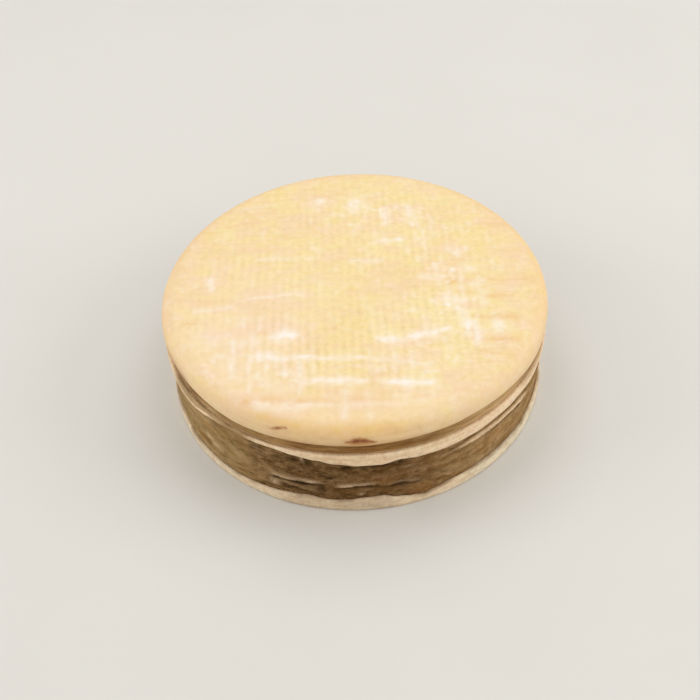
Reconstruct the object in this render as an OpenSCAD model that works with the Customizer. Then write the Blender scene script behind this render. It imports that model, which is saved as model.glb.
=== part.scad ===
// Round bark-walled cheese box with a lift-off lid.
// A bent veneer wall stands on a round floor board and rises past the outer
// bark as a neck. A bark strap and two thin hoops are bound round it, and a
// turned wooden lid with its own bark skirt drops over the neck.
// Millimetres, +Z up, origin at the centre of the underside, front towards -Y.

/* [Overall] */
// Outer radius of the hoops and of the lid
box_r = 60; // [50:1:75]
// Overall height with the lid on
box_h = 36; // [34:0.5:60]
// Height of the lid's pale cap at its rim, from its lower edge to the flat top
cap_h = 6; // [5.5:0.25:8]
// Height of the bark skirt that shows between the cap and the strap
skirt_h = 4.6; // [3.5:0.1:6]

/* [Floor and wall] */
// Thickness of the floor board
floor_t = 3; // [2:0.25:5]
// Thickness of the bent veneer wall
liner_t = 1.2; // [0.8:0.1:1.6]
// Gap between the lid's inner face and the top of the neck
neck_gap = 0.3; // [0.2:0.05:1]

/* [Bark and hoops] */
// Thickness of the bark strap
strap_t = 1.7; // [1.2:0.1:2.5]
// Gap under the bark strap
strap_lift = 0.4; // [0.2:0.1:1]
// Thickness of the two outer hoops
hoop_t = 0.9; // [0.6:0.1:1.4]
// Height of the upper hoop
upper_h = 4.4; // [3:0.1:7]
// Height of the lower hoop
lower_h = 5.2; // [3:0.1:8]

/* [Lid] */
// Radius of the cap's rounded shoulder
shoulder_r = 5.2; // [4:0.1:5.4]
// Radial clearance between the skirt and the neck
fit_gap = 0.3; // [0.2:0.05:0.6]
// Thickness of the bark skirt
skirt_t = 1.3; // [1:0.1:1.5]
// How far the skirt is let into the cap, above the cap's lower edge
skirt_rebate = 2.4; // [1.8:0.1:2.6]
// How far the cap's inner face lies above its lower edge
inner_lift = 0.2; // [0:0.1:0.5]

/* [Fastenings] */
// Number of brads round the floor board
floor_brad_n = 8; // [4:1:12]
// Number of brads round the lid
lid_brad_n = 6; // [4:1:12]
// Radius of a brad
brad_r = 0.4; // [0.3:0.05:0.5]
// Length of a brad
brad_l = 7; // [5:0.5:12]
// Radius of a wooden peg
peg_r = 0.9; // [0.6:0.1:1.2]
// Width of the glue line in a scarf joint
glue = 0.12; // [0.1:0.02:0.2]
// Angle that a scarf joint takes up round the box
scarf_arc = 24; // [16:1:36]

/* [Hidden] */
$fn = 160;

// radii, from the outside in
strap_out = box_r - hoop_t;          // bark strap, outside
liner_out = strap_out - strap_t;     // veneer wall, outside
liner_in = liner_out - liner_t;      // veneer wall, inside
skirt_in = liner_out + fit_gap;      // lid skirt, inside
skirt_out = skirt_in + skirt_t;      // lid skirt, outside
// heights
cap_z = box_h - cap_h;               // lower edge of the cap
seat_z = cap_z - skirt_h;            // where the lid's skirt stands on the strap
lid_in_z = cap_z + inner_lift;       // inner face of the lid
neck_z = lid_in_z - neck_gap;        // top of the neck
skirt_top = cap_z + skirt_rebate;    // top of the skirt, inside the cap
// directions, in degrees from +X: the laps all lie at the back
back = 125;
liner_lap = back + 14;
strap_lap = back - 10;
upper_lap = back - 24;
lower_lap = back - 38;
skirt_lap = back + 4;

// A strip bent into a ring. Its thinned ends lie over each other in a long
// scarf joint: a glue line that winds through the wall from the inside to the
// outside over the angle arc, centred on the direction lap.
module bent_ring(r_in, t, z0, z1, lap, arc = scarf_arc) {
    steps = 14;
    reach = 0.15;
    function line(i, side) =
        let (a = lap + arc * (i / steps - 0.5),
             r = r_in - reach + (t + 2 * reach) * i / steps + side * glue / 2)
        [r * cos(a), r * sin(a)];
    difference() {
        rotate_extrude()
            translate([r_in, z0]) square([t, z1 - z0]);
        translate([0, 0, z0 - 1]) linear_extrude(z1 - z0 + 2)
            polygon(concat([for (i = [0 : steps]) line(i, 1)],
                           [for (i = [steps : -1 : 0]) line(i, -1)]));
    }
}

// A round pin pointing outwards along the direction az, its outer end at r_out.
module radial_pin(az, r_out, len, z, r) {
    rotate([0, 0, az])
        translate([r_out - len, 0, z])
            rotate([0, 90, 0])
                cylinder(r = r, h = len, $fn = 32);
}

// A flat wire staple through the veneer, its crown let into the outer face and
// its legs bent over on the inner face.
module staple(az, z, half_w = 4.2, wire_w = 0.8, wire_t = 0.4) {
    chord_out = sqrt(liner_out * liner_out - pow(half_w + 0.3, 2));
    chord_in = sqrt(liner_in * liner_in - half_w * half_w);
    rotate([0, 0, az]) union() {
        translate([chord_out - wire_t, -half_w, z - wire_w / 2])
            cube([wire_t, 2 * half_w, wire_w]);
        for (s = [-1, 1]) {
            translate([chord_in - wire_t, s > 0 ? half_w - wire_t : -half_w, z - wire_w / 2])
                cube([chord_out - chord_in + wire_t, wire_t, wire_w]);
            translate([chord_in - wire_t, s > 0 ? half_w - 3.4 : -half_w, z - wire_w / 2])
                cube([wire_t, 3.4, wire_w]);
        }
    }
}

module floor_board() {
    color("burlywood")
        cylinder(r = liner_in, h = floor_t);
}

module floor_brads() {
    color("silver")
        for (i = [0 : floor_brad_n - 1])
            radial_pin(i * 360 / floor_brad_n + 20, liner_out, brad_l, floor_t / 2, brad_r);
}

module liner_hoop() {
    color("wheat")
        bent_ring(liner_in, liner_t, 0, neck_z, liner_lap);
}

module liner_staples() {
    color("silver")
        for (z = [8, 15, 22])
            staple(liner_lap, z);
}

module bark_strap() {
    color("saddlebrown")
        bent_ring(liner_out, strap_t, strap_lift, seat_z, strap_lap);
}

module strap_pegs() {
    color("peru")
        for (z = [9.5, 16.5])
            radial_pin(strap_lap + 6, strap_out + 0.3, liner_t + strap_t + 0.1, z, peg_r);
}

module upper_hoop() {
    color("tan")
        bent_ring(strap_out, hoop_t, seat_z - upper_h, seat_z, upper_lap);
}

module lower_hoop() {
    color("tan")
        bent_ring(strap_out, hoop_t, 0, lower_h, lower_lap);
}

module hoop_pegs() {
    color("peru")
        for (a = [-4.5, 4.5]) {
            radial_pin(upper_lap + a, box_r, 2.6, seat_z - upper_h / 2, peg_r * 0.75);
            radial_pin(lower_lap + a, box_r, 2.6, lower_h / 2, peg_r * 0.75);
        }
}

// Turned cap: a flat top with a round shoulder, a rim that hangs over the
// skirt, and an inner face that stands between the skirt's walls.
module lid_cap() {
    color("navajowhite")
        rotate_extrude() difference() {
            union() {
                translate([0, cap_z]) square([box_r - shoulder_r, cap_h]);
                translate([0, cap_z]) square([box_r, cap_h - shoulder_r]);
                intersection() {
                    translate([box_r - shoulder_r, box_h - shoulder_r]) circle(r = shoulder_r, $fn = 96);
                    translate([0, cap_z]) square([box_r + 1, cap_h + 1]);
                }
            }
            translate([skirt_in, cap_z - 1]) square([skirt_t, skirt_rebate + 1]);
            translate([-1, cap_z - 1]) square([skirt_in + 1.001, inner_lift + 1]);
        }
}

module lid_skirt() {
    color("sienna")
        bent_ring(skirt_in, skirt_t, seat_z, skirt_top, skirt_lap);
}

module lid_brads() {
    color("silver")
        for (i = [0 : lid_brad_n - 1])
            radial_pin(i * 360 / lid_brad_n + 4 + 360 / lid_brad_n / 2, skirt_out, brad_l,
                       (lid_in_z + skirt_top) / 2, brad_r);
}

floor_board();
floor_brads();
liner_hoop();
liner_staples();
bark_strap();
strap_pegs();
upper_hoop();
lower_hoop();
hoop_pegs();
lid_cap();
lid_skirt();
lid_brads();
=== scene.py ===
"""Looks of a round bark-walled cheese box with a lift-off lid, in metres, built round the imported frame.

Directions round the box are given as az, in degrees: 0 faces the camera (-Y), 90 is +X, 180 is the back.
Meshes are made in millimetres here and turned into metres as they are written.
"""

import math

import bpy
import numpy as np
from mathutils import Matrix, Vector


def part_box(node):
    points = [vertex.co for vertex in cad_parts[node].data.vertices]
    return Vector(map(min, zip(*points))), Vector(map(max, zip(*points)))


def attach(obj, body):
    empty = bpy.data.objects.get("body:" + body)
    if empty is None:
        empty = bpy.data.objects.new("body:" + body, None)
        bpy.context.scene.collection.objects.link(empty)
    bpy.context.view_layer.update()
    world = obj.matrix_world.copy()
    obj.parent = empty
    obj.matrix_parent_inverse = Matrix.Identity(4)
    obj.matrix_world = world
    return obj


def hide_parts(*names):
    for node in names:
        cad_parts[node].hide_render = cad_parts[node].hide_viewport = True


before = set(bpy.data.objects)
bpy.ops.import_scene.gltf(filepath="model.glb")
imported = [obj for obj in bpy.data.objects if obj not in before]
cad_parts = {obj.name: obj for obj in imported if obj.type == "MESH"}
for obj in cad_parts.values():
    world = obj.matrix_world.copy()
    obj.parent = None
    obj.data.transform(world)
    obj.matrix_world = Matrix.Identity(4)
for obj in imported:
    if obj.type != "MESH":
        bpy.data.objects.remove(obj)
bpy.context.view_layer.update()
scene = bpy.context.scene

# ---------------------------------------------------------------- sizes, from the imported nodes, in millimetres


def extent(node):
    lo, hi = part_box(node)
    return max(hi.x, hi.y, -lo.x, -lo.y) * 1000, lo.z * 1000, hi.z * 1000


HOOP_OUT, LOW_Z0, LOW_Z1 = extent("lower_hoop")
_, UP_Z0, SEAT_Z = extent("upper_hoop")
STRAP_OUT, STRAP_Z0, _ = extent("bark_strap")
LINER_OUT, _, NECK_Z = extent("liner_hoop")
LINER_IN, _, FLOOR_Z = extent("floor_board")
SKIRT_OUT, _, SKIRT_TOP = extent("lid_skirt")
CAP_OUT, CAP_Z, TOP_Z = extent("lid_cap")
HOOP_OUT, CAP_OUT = round(HOOP_OUT, 1), round(CAP_OUT, 1)
STRAP_OUT, LINER_OUT, SKIRT_OUT = round(STRAP_OUT, 1), round(LINER_OUT, 1), round(SKIRT_OUT, 1)
LINER_IN = round(LINER_IN, 1)
SKIRT_IN = LINER_OUT + 0.3
LID_IN_Z = NECK_Z + 0.3
SHOULDER = 5.2

# ends of the lapped strips, as az
STRAP_END, UP_END, LOW_END, SKIRT_END, LINER_END = 217.0, 203.0, 189.0, 231.0, 217.0
STRAP_PEG_AZ, STRAP_PEG_Z = 211.0, (9.5, 16.5)
UP_PEG_AZ, LOW_PEG_AZ = (186.5, 195.5), (172.5, 181.5)

# ---------------------------------------------------------------- noise that wraps round the box


def _hash(ix, iy, seed):
    h = (ix.astype(np.int64) * 374761393 + iy.astype(np.int64) * 668265263 + seed * 362437) & 0xFFFFFFFF
    h = ((h ^ (h >> 13)) * 1274126177) & 0xFFFFFFFF
    return ((h ^ (h >> 16)) & 0xFFFFFFFF) / 4294967295.0


def noise(x, y, seed, wrap=0):
    """Smooth noise from -1 to 1. x repeats every wrap cells."""
    x, y = np.broadcast_arrays(np.asarray(x, float), np.asarray(y, float))
    x0, y0 = np.floor(x), np.floor(y)
    fx, fy = x - x0, y - y0
    fx, fy = fx * fx * fx * (fx * (fx * 6 - 15) + 10), fy * fy * fy * (fy * (fy * 6 - 15) + 10)
    x1 = x0 + 1
    if wrap:
        x0, x1 = x0 % wrap, x1 % wrap
    a, b = _hash(x0, y0, seed), _hash(x1, y0, seed)
    c, d = _hash(x0, y0 + 1, seed), _hash(x1, y0 + 1, seed)
    return 2 * ((a * (1 - fx) + b * fx) * (1 - fy) + (c * (1 - fx) + d * fx) * fy) - 1


def fbm(x, y, seed, octaves=4, wrap=0, gain=0.5):
    out, amp, total = 0.0, 1.0, 0.0
    for i in range(octaves):
        out = out + amp * noise(x * 2**i, y * 2**i, seed + 17 * i, wrap * 2**i)
        total += amp
        amp *= gain
    return out / total


def round_noise(az, z, cells, height, seed, octaves=4, gain=0.5):
    """fbm on the wall: cells round the box, each height millimetres tall."""
    return fbm(np.asarray(az) / 360 * cells, np.asarray(z) / height, seed, octaves, cells, gain)


def smooth(t):
    t = np.clip(t, 0, 1)
    return t * t * (3 - 2 * t)


def turn(az, centre):
    """az measured from centre, from -180 to 180."""
    return (np.asarray(az) - centre + 180) % 360 - 180


def along(az, points):
    """A smooth closed curve through (az, value) points."""
    p = sorted((a % 360, v) for a, v in points)
    a = np.array([p[-1][0] - 360] + [q[0] for q in p] + [p[0][0] + 360])
    v = np.array([p[-1][1]] + [q[1] for q in p] + [p[0][1]])
    x = np.asarray(az) % 360
    i = np.clip(np.searchsorted(a, x, side="right") - 1, 0, len(a) - 2)
    t = smooth((x - a[i]) / (a[i + 1] - a[i]))
    return v[i] * (1 - t) + v[i + 1] * t


# ---------------------------------------------------------------- meshes


def write_mesh(name, verts, quads, tris=None, attrs=None, slots=None, materials=(), flat=False):
    me = bpy.data.meshes.new(name)
    quads = np.asarray(quads, np.int32).reshape(-1, 4)
    tris = np.asarray(tris if tris is not None else [], np.int32).reshape(-1, 3)
    loops = np.concatenate([quads.ravel(), tris.ravel()])
    starts = np.concatenate([np.arange(len(quads)) * 4, len(quads) * 4 + np.arange(len(tris)) * 3])
    me.vertices.add(len(verts))
    me.vertices.foreach_set("co", (np.asarray(verts, float) / 1000).astype(np.float32).ravel())
    me.loops.add(len(loops))
    me.loops.foreach_set("vertex_index", loops.astype(np.int32))
    me.polygons.add(len(starts))
    me.polygons.foreach_set("loop_start", starts.astype(np.int32))
    if slots is not None:
        me.polygons.foreach_set("material_index", np.asarray(slots, np.int32))
    me.update(calc_edges=True)
    me.validate()
    me.polygons.foreach_set("use_smooth", np.full(len(me.polygons), not flat))
    for key, values in (attrs or {}).items():
        at = me.attributes.new(key, "FLOAT", "POINT")
        at.data.foreach_set("value", np.asarray(values, np.float32).ravel())
    ob = bpy.data.objects.new(name, me)
    scene.collection.objects.link(ob)
    for m in materials:
        me.materials.append(m)
    return ob


def torus_faces(rows, cols):
    i, j = np.meshgrid(np.arange(rows), np.arange(cols), indexing="ij")
    i1, j1 = (i + 1) % rows, (j + 1) % cols
    return np.stack([i * cols + j, i * cols + j1, i1 * cols + j1, i1 * cols + j], -1).reshape(-1, 4)


def polar(az, r, z):
    a = np.radians(az)
    return np.stack(np.broadcast_arrays(r * np.sin(a), -r * np.cos(a), z), -1)


def columns(n, ends=()):
    """az of the columns round a ring, with two close ones at each strip's end so that its step is sharp."""
    az = np.arange(n) * 360.0 / n
    extra = [e + s for e in ends for s in (-0.03, 0.03)]
    keep = [a for a in az if all(abs(turn(a, e)) > 0.15 for e in extra)]
    return np.array(sorted(keep + [e % 360 for e in extra]))


def bent_strip(name, az, r_in, r_out, z0, z1, n_out, n_in, edge, relief, inner_relief, attrs, materials, inner=None):
    """A closed strip bent into a ring. z0 and z1 are its edges at each az; edge and inner are their rounding;
    relief(az, z) and inner_relief(az, z) move the two faces outwards; attrs(az, z, face, r) gives values for the material."""
    rows = []
    inner = edge if inner is None else inner
    quarter = np.radians([0, 30, 60, 90])
    t = np.linspace(0, 1, n_out)
    for k in t:
        z = (z0 + edge) * (1 - k) + (z1 - edge) * k
        rows.append((r_out + relief(az, z), z, 1.0))
    top_r = r_out + relief(az, z1 - edge)
    for a in quarter[1:]:
        rows.append((top_r - edge * (1 - np.cos(a)), z1 - edge * (1 - np.sin(a)), 0.5))
    in_top = r_in + inner_relief(az, z1 - inner)
    for k in (0.33, 0.67):
        rows.append(((top_r - edge) * (1 - k) + (in_top + inner) * k, z1 + 0 * az, 0.5))
    for a in quarter[::-1]:
        rows.append((in_top + inner * (1 - np.cos(a)), z1 - inner * (1 - np.sin(a)), 0.5))
    for k in np.linspace(0, 1, n_in)[1:-1]:
        z = (z1 - inner) * (1 - k) + (z0 + inner) * k
        rows.append((r_in + inner_relief(az, z), z, 0.0))
    in_low = r_in + inner_relief(az, z0 + inner)
    for a in quarter:
        rows.append((in_low + inner * (1 - np.cos(a)), z0 + inner * (1 - np.sin(a)), 0.5))
    low_r = r_out + relief(az, z0 + edge)
    for k in (0.33, 0.67):
        rows.append(((in_low + inner) * (1 - k) + (low_r - edge) * k, z0 + 0 * az, 0.5))
    for a in quarter[::-1][:-1]:
        rows.append((low_r - edge * (1 - np.cos(a)), z0 + edge * (1 - np.sin(a)), 0.5))
    r = np.array([np.broadcast_to(q[0], az.shape) for q in rows])
    z = np.array([np.broadcast_to(q[1], az.shape) for q in rows])
    face = np.array([np.full(az.shape, q[2]) for q in rows])
    verts = polar(az[None, :], r, z).reshape(-1, 3)
    values = {k: np.broadcast_to(v, r.shape).ravel() for k, v in attrs(np.broadcast_to(az, r.shape), z, face, r).items()}
    return write_mesh(name, verts, torus_faces(len(rows), len(az)), attrs=values, materials=materials)


def ring_stack(name, rings, attrs, materials, slot_of=None):
    """A closed solid of revolution from rings (n, r, z, tag), in order from the top centre outwards, down and back in below.
    A ring has as many points as its neighbour, or half or twice as many. The first and last entries are single points."""
    verts, quads, tris, tags, start, qs, ts = [], [], [], [], [], [], []
    total = 0
    for n, pts, tag in rings:
        verts.append(np.asarray(pts, float).reshape(-1, 3))
        tags.append(np.full(len(verts[-1]), tag))
        start.append(total)
        total += len(verts[-1])
    for (na, _, ta), (nb, _, tb), a, b in zip(rings, rings[1:], start, start[1:]):
        tag = max(ta, tb)
        if na == 1 or nb == 1:
            n = max(na, nb)
            j = np.arange(n)
            new = np.stack([a + 0 * j, b + j, b + (j + 1) % n] if na == 1 else [a + (j + 1) % n, a + j, b + 0 * j], -1)
            tris.append(new)
            ts.append(np.full(len(new), tag))
        elif na == nb:
            j = np.arange(na)
            k = (j + 1) % na
            quads.append(np.stack([a + j, b + j, b + k, a + k], -1))
            qs.append(np.full(na, tag))
        elif nb == 2 * na:
            j = np.arange(na)
            k, p, q, s = (j + 1) % na, 2 * j, 2 * j + 1, (2 * j + 2) % nb
            for new in ([a + j, b + p, b + q], [a + j, b + q, a + k], [a + k, b + q, b + s]):
                tris.append(np.stack(new, -1))
                ts.append(np.full(na, tag))
        else:
            j = np.arange(nb)
            k, p, q, s = (j + 1) % nb, 2 * j, 2 * j + 1, (2 * j + 2) % na
            for new in ([a + p, b + j, a + q], [a + q, b + j, b + k], [a + q, b + k, a + s]):
                tris.append(np.stack(new, -1))
                ts.append(np.full(nb, tag))
    verts, tags = np.concatenate(verts), np.concatenate(tags)
    quads = np.concatenate(quads) if quads else np.zeros((0, 4), int)
    tris = np.concatenate(tris) if tris else np.zeros((0, 3), int)
    slots = np.concatenate([*qs, *ts]).astype(int)
    return write_mesh(name, verts, quads, tris, attrs=attrs(verts, tags), slots=slots, materials=materials)


def count_at(r, widest, spacing):
    """How many points a ring of radius r has: widest, halved until they are about spacing apart."""
    n = widest
    while n > 12 and 2 * math.pi * r / n < spacing * 0.75:
        n //= 2
    return n


# ---------------------------------------------------------------- materials


TOP_LIGHT, SIDE_LIGHT = 1.15, 0.82  # how strongly the lamps light the lid's face and the front of the wall


def rgb(r, g, b, light=1.0):
    """The linear colour that shows as r, g, b (sRGB, 0 to 255) under that much light."""
    f = lambda c: min(0.95, (c / 255 / 12.92 if c <= 10.3 else ((c / 255 + 0.055) / 1.055) ** 2.4) / light)
    return (f(r), f(g), f(b), 1.0)


def top_rgb(r, g, b):
    return rgb(r, g, b, TOP_LIGHT)


def side_rgb(r, g, b):
    return rgb(r, g, b, SIDE_LIGHT)


def bark_rgb(r, g, b):
    return rgb(r, g, b, SIDE_LIGHT - 0.06)


class Mat:
    """A material with one Principled shader, and short ways to add nodes."""

    def __init__(self, name, roughness=0.7, specular=0.3):
        self.m = bpy.data.materials.new(name)
        self.m.use_nodes = True
        self.nt = self.m.node_tree
        self.bsdf = next(n for n in self.nt.nodes if n.type == "BSDF_PRINCIPLED")
        self.bsdf.inputs["Roughness"].default_value = roughness
        self.bsdf.inputs["Specular IOR Level"].default_value = specular
        self.coord = self.nt.nodes.new("ShaderNodeTexCoord").outputs["Object"]

    def link(self, a, b):
        self.nt.links.new(a, b)
        return a

    def put(self, socket, value):
        if isinstance(value, bpy.types.NodeSocket):
            self.nt.links.new(value, socket)
        else:
            socket.default_value = value

    def stretched(self, sx, sy, sz, turned=(0, 0, 0)):
        n = self.nt.nodes.new("ShaderNodeMapping")
        n.inputs["Scale"].default_value = (sx, sy, sz)
        n.inputs["Rotation"].default_value = turned
        self.nt.links.new(self.coord, n.inputs["Vector"])
        return n.outputs["Vector"]

    def noise(self, vector, scale=1.0, detail=4.0, rough=0.55, distortion=0.0):
        n = self.nt.nodes.new("ShaderNodeTexNoise")
        self.nt.links.new(vector, n.inputs["Vector"])
        n.inputs["Scale"].default_value = scale
        n.inputs["Detail"].default_value = detail
        n.inputs["Roughness"].default_value = rough
        n.inputs["Distortion"].default_value = distortion
        return n.outputs["Fac"]

    def attr(self, name):
        n = self.nt.nodes.new("ShaderNodeAttribute")
        n.attribute_name = name
        return n.outputs["Fac"]

    def math(self, op, a, b=0.0, clamp=False):
        n = self.nt.nodes.new("ShaderNodeMath")
        n.operation = op
        n.use_clamp = clamp
        self.put(n.inputs[0], a)
        self.put(n.inputs[1], b)
        return n.outputs[0]

    def span(self, value, lo, hi, to_lo=0.0, to_hi=1.0, smoothly=True):
        n = self.nt.nodes.new("ShaderNodeMapRange")
        n.interpolation_type = "SMOOTHSTEP" if smoothly else "LINEAR"
        n.clamp = True
        self.put(n.inputs["Value"], value)
        for key, v in zip(("From Min", "From Max", "To Min", "To Max"), (lo, hi, to_lo, to_hi)):
            n.inputs[key].default_value = v
        return n.outputs["Result"]

    def mix(self, fac, a, b, mode="MIX"):
        n = self.nt.nodes.new("ShaderNodeMix")
        n.data_type = "RGBA"
        n.blend_type = mode
        n.clamp_factor = True
        self.put(n.inputs["Factor"], fac)
        self.put(n.inputs["A"] if False else n.inputs[6], a)
        self.put(n.inputs[7], b)
        return n.outputs[2]

    def ramp(self, value, stops):
        n = self.nt.nodes.new("ShaderNodeValToRGB")
        e = n.color_ramp.elements
        while len(e) < len(stops):
            e.new(0.5)
        for el, (p, c) in zip(e, stops):
            el.position, el.color = p, c
        self.nt.links.new(value, n.inputs["Fac"])
        return n.outputs["Color"]

    def bump(self, height, strength, distance):
        n = self.nt.nodes.new("ShaderNodeBump")
        n.inputs["Strength"].default_value = strength
        n.inputs["Distance"].default_value = distance
        self.nt.links.new(height, n.inputs["Height"])
        self.nt.links.new(n.outputs["Normal"], self.bsdf.inputs["Normal"])

    def colour(self, socket):
        self.nt.links.new(socket, self.bsdf.inputs["Base Color"])

    def roughness(self, socket):
        self.nt.links.new(socket, self.bsdf.inputs["Roughness"])


def cap_material():
    """The lid's pale face: limed, waxed, pressed under cloth, with chalky streaks."""
    k = Mat("limed_face", 0.62, 0.28)
    o = k.coord
    wide = k.noise(k.stretched(1, 1, 1), 70, 3, 0.5)
    patch = k.noise(k.stretched(150, 210, 150), 1.0, 3, 0.55)
    grain = k.noise(k.stretched(60, 420, 200, (0, 0, math.radians(-4))), 1.0, 4, 0.6)
    mottle = k.noise(o, 480, 3, 0.6)
    fine = k.noise(o, 1500, 3, 0.6)
    base = k.mix(k.attr("warm_edge"), top_rgb(253, 232, 174), top_rgb(253, 223, 174))
    base = k.mix(k.span(wide, 0.42, 0.66, 0.0, 0.6), base, top_rgb(252, 218, 180))
    base = k.mix(k.span(patch, 0.5, 0.68, 0.0, 0.42), base, top_rgb(251, 231, 156))
    base = k.mix(k.span(patch, 0.48, 0.32, 0.0, 0.5), base, top_rgb(251, 219, 187))
    base = k.mix(k.span(grain, 0.45, 0.75, 0.0, 0.3), base, top_rgb(246, 208, 150))
    base = k.mix(k.span(mottle, 0.52, 0.68, 0.0, 0.3), base, top_rgb(255, 238, 206))
    base = k.mix(k.span(mottle, 0.48, 0.32, 0.0, 0.24), base, top_rgb(238, 210, 144))
    base = k.mix(k.span(fine, 0.5, 0.34, 0.0, 0.1), base, top_rgb(222, 196, 134))
    base = k.mix(k.attr("pink"), base, top_rgb(253, 221, 192))
    base = k.mix(k.math("MULTIPLY", k.attr("thread"), k.span(mottle, 0.3, 0.7, 0.46, 0.2)), base, top_rgb(226, 202, 150))
    base = k.mix(k.attr("ochre"), base, top_rgb(238, 184, 118))
    chalk = k.math("MULTIPLY", k.attr("bloom"), k.span(mottle, 0.3, 0.6, 0.7, 1.1), True)
    base = k.mix(chalk, base, top_rgb(255, 246, 236))
    turned = k.noise(k.stretched(60, 60, 900), 1.0, 4, 0.6)
    rim = k.mix(k.span(turned, 0.4, 0.65), top_rgb(238, 187, 124), top_rgb(250, 205, 144))
    rim = k.mix(k.span(mottle, 0.5, 0.3, 0.0, 0.5), rim, top_rgb(206, 160, 104))
    rim = k.mix(k.span(patch, 0.52, 0.7, 0.0, 0.6), rim, top_rgb(246, 214, 162))
    # the shoulder's tan colour, laid on most at the front, where it is partly painted shade
    base = k.mix(k.attr("rim"), base, rim)
    base = k.mix(k.attr("amber"), base, (0.96, 0.85, 0.62, 1.0), "MULTIPLY")
    # painted shade along the cap's lower edge
    base = k.mix(k.attr("lip"), base, top_rgb(176, 130, 78))
    base = k.mix(k.attr("spot_pale"), base, top_rgb(208, 150, 88))
    base = k.mix(k.attr("spot"), base, top_rgb(140, 70, 30))
    k.colour(base)
    k.roughness(k.span(chalk, 0, 1, 0.56, 0.85))
    height = k.math("ADD", k.math("MULTIPLY", mottle, 0.7), k.math("MULTIPLY", fine, 0.4))
    height = k.math("ADD", height, k.math("MULTIPLY", k.attr("bloom"), 0.5))
    k.bump(height, 0.4, 0.00012)
    return k.m


def wood_material(name, pale, mid, dark, turned=0.0, round_it=False, rough=0.6, scale=1.0, bump=0.3):
    """Sawn or bent pale wood. The grain runs along X, or round the box at one height if round_it."""
    k = Mat(name, rough, 0.3)
    if round_it:
        wide = k.noise(k.stretched(7 * scale, 7 * scale, 150 * scale), 1.0, 3, 0.5, 0.6)
        fibre = k.noise(k.stretched(45 * scale, 45 * scale, 1500 * scale), 1.0, 3, 0.65)
    else:
        wide = k.noise(k.stretched(9 * scale, 120 * scale, 60 * scale, (0, 0, turned)), 1.0, 4, 0.5, 1.1)
        fibre = k.noise(k.stretched(60 * scale, 1500 * scale, 900 * scale, (0, 0, turned)), 1.0, 3, 0.65)
    blotch = k.noise(k.coord, 40, 3, 0.5)
    base = k.ramp(wide, [(0.22, dark), (0.42, mid), (0.6, pale), (0.85, mid)])
    base = k.mix(k.span(fibre, 0.42, 0.7, 0.0, 0.45), base, dark)
    base = k.mix(k.span(fibre, 0.5, 0.3, 0.0, 0.3), base, pale)
    base = k.mix(k.span(blotch, 0.45, 0.75, 0.0, 0.25), base, mid)
    pores = k.noise(k.stretched(120 * scale, 120 * scale if round_it else 2600 * scale, 2600 * scale, (0, 0, turned)), 1.0, 1, 0.4)
    base = k.mix(k.span(pores, 0.66, 0.74, 0.0, 0.5), base, tuple(c * 0.45 for c in dark[:3]) + (1.0,))
    k.colour(base)
    k.roughness(k.span(wide, 0.3, 0.8, rough - 0.07, rough + 0.1))
    k.bump(k.math("ADD", fibre, k.math("MULTIPLY", wide, 0.8)), bump, 0.00015)
    return k.m


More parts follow.
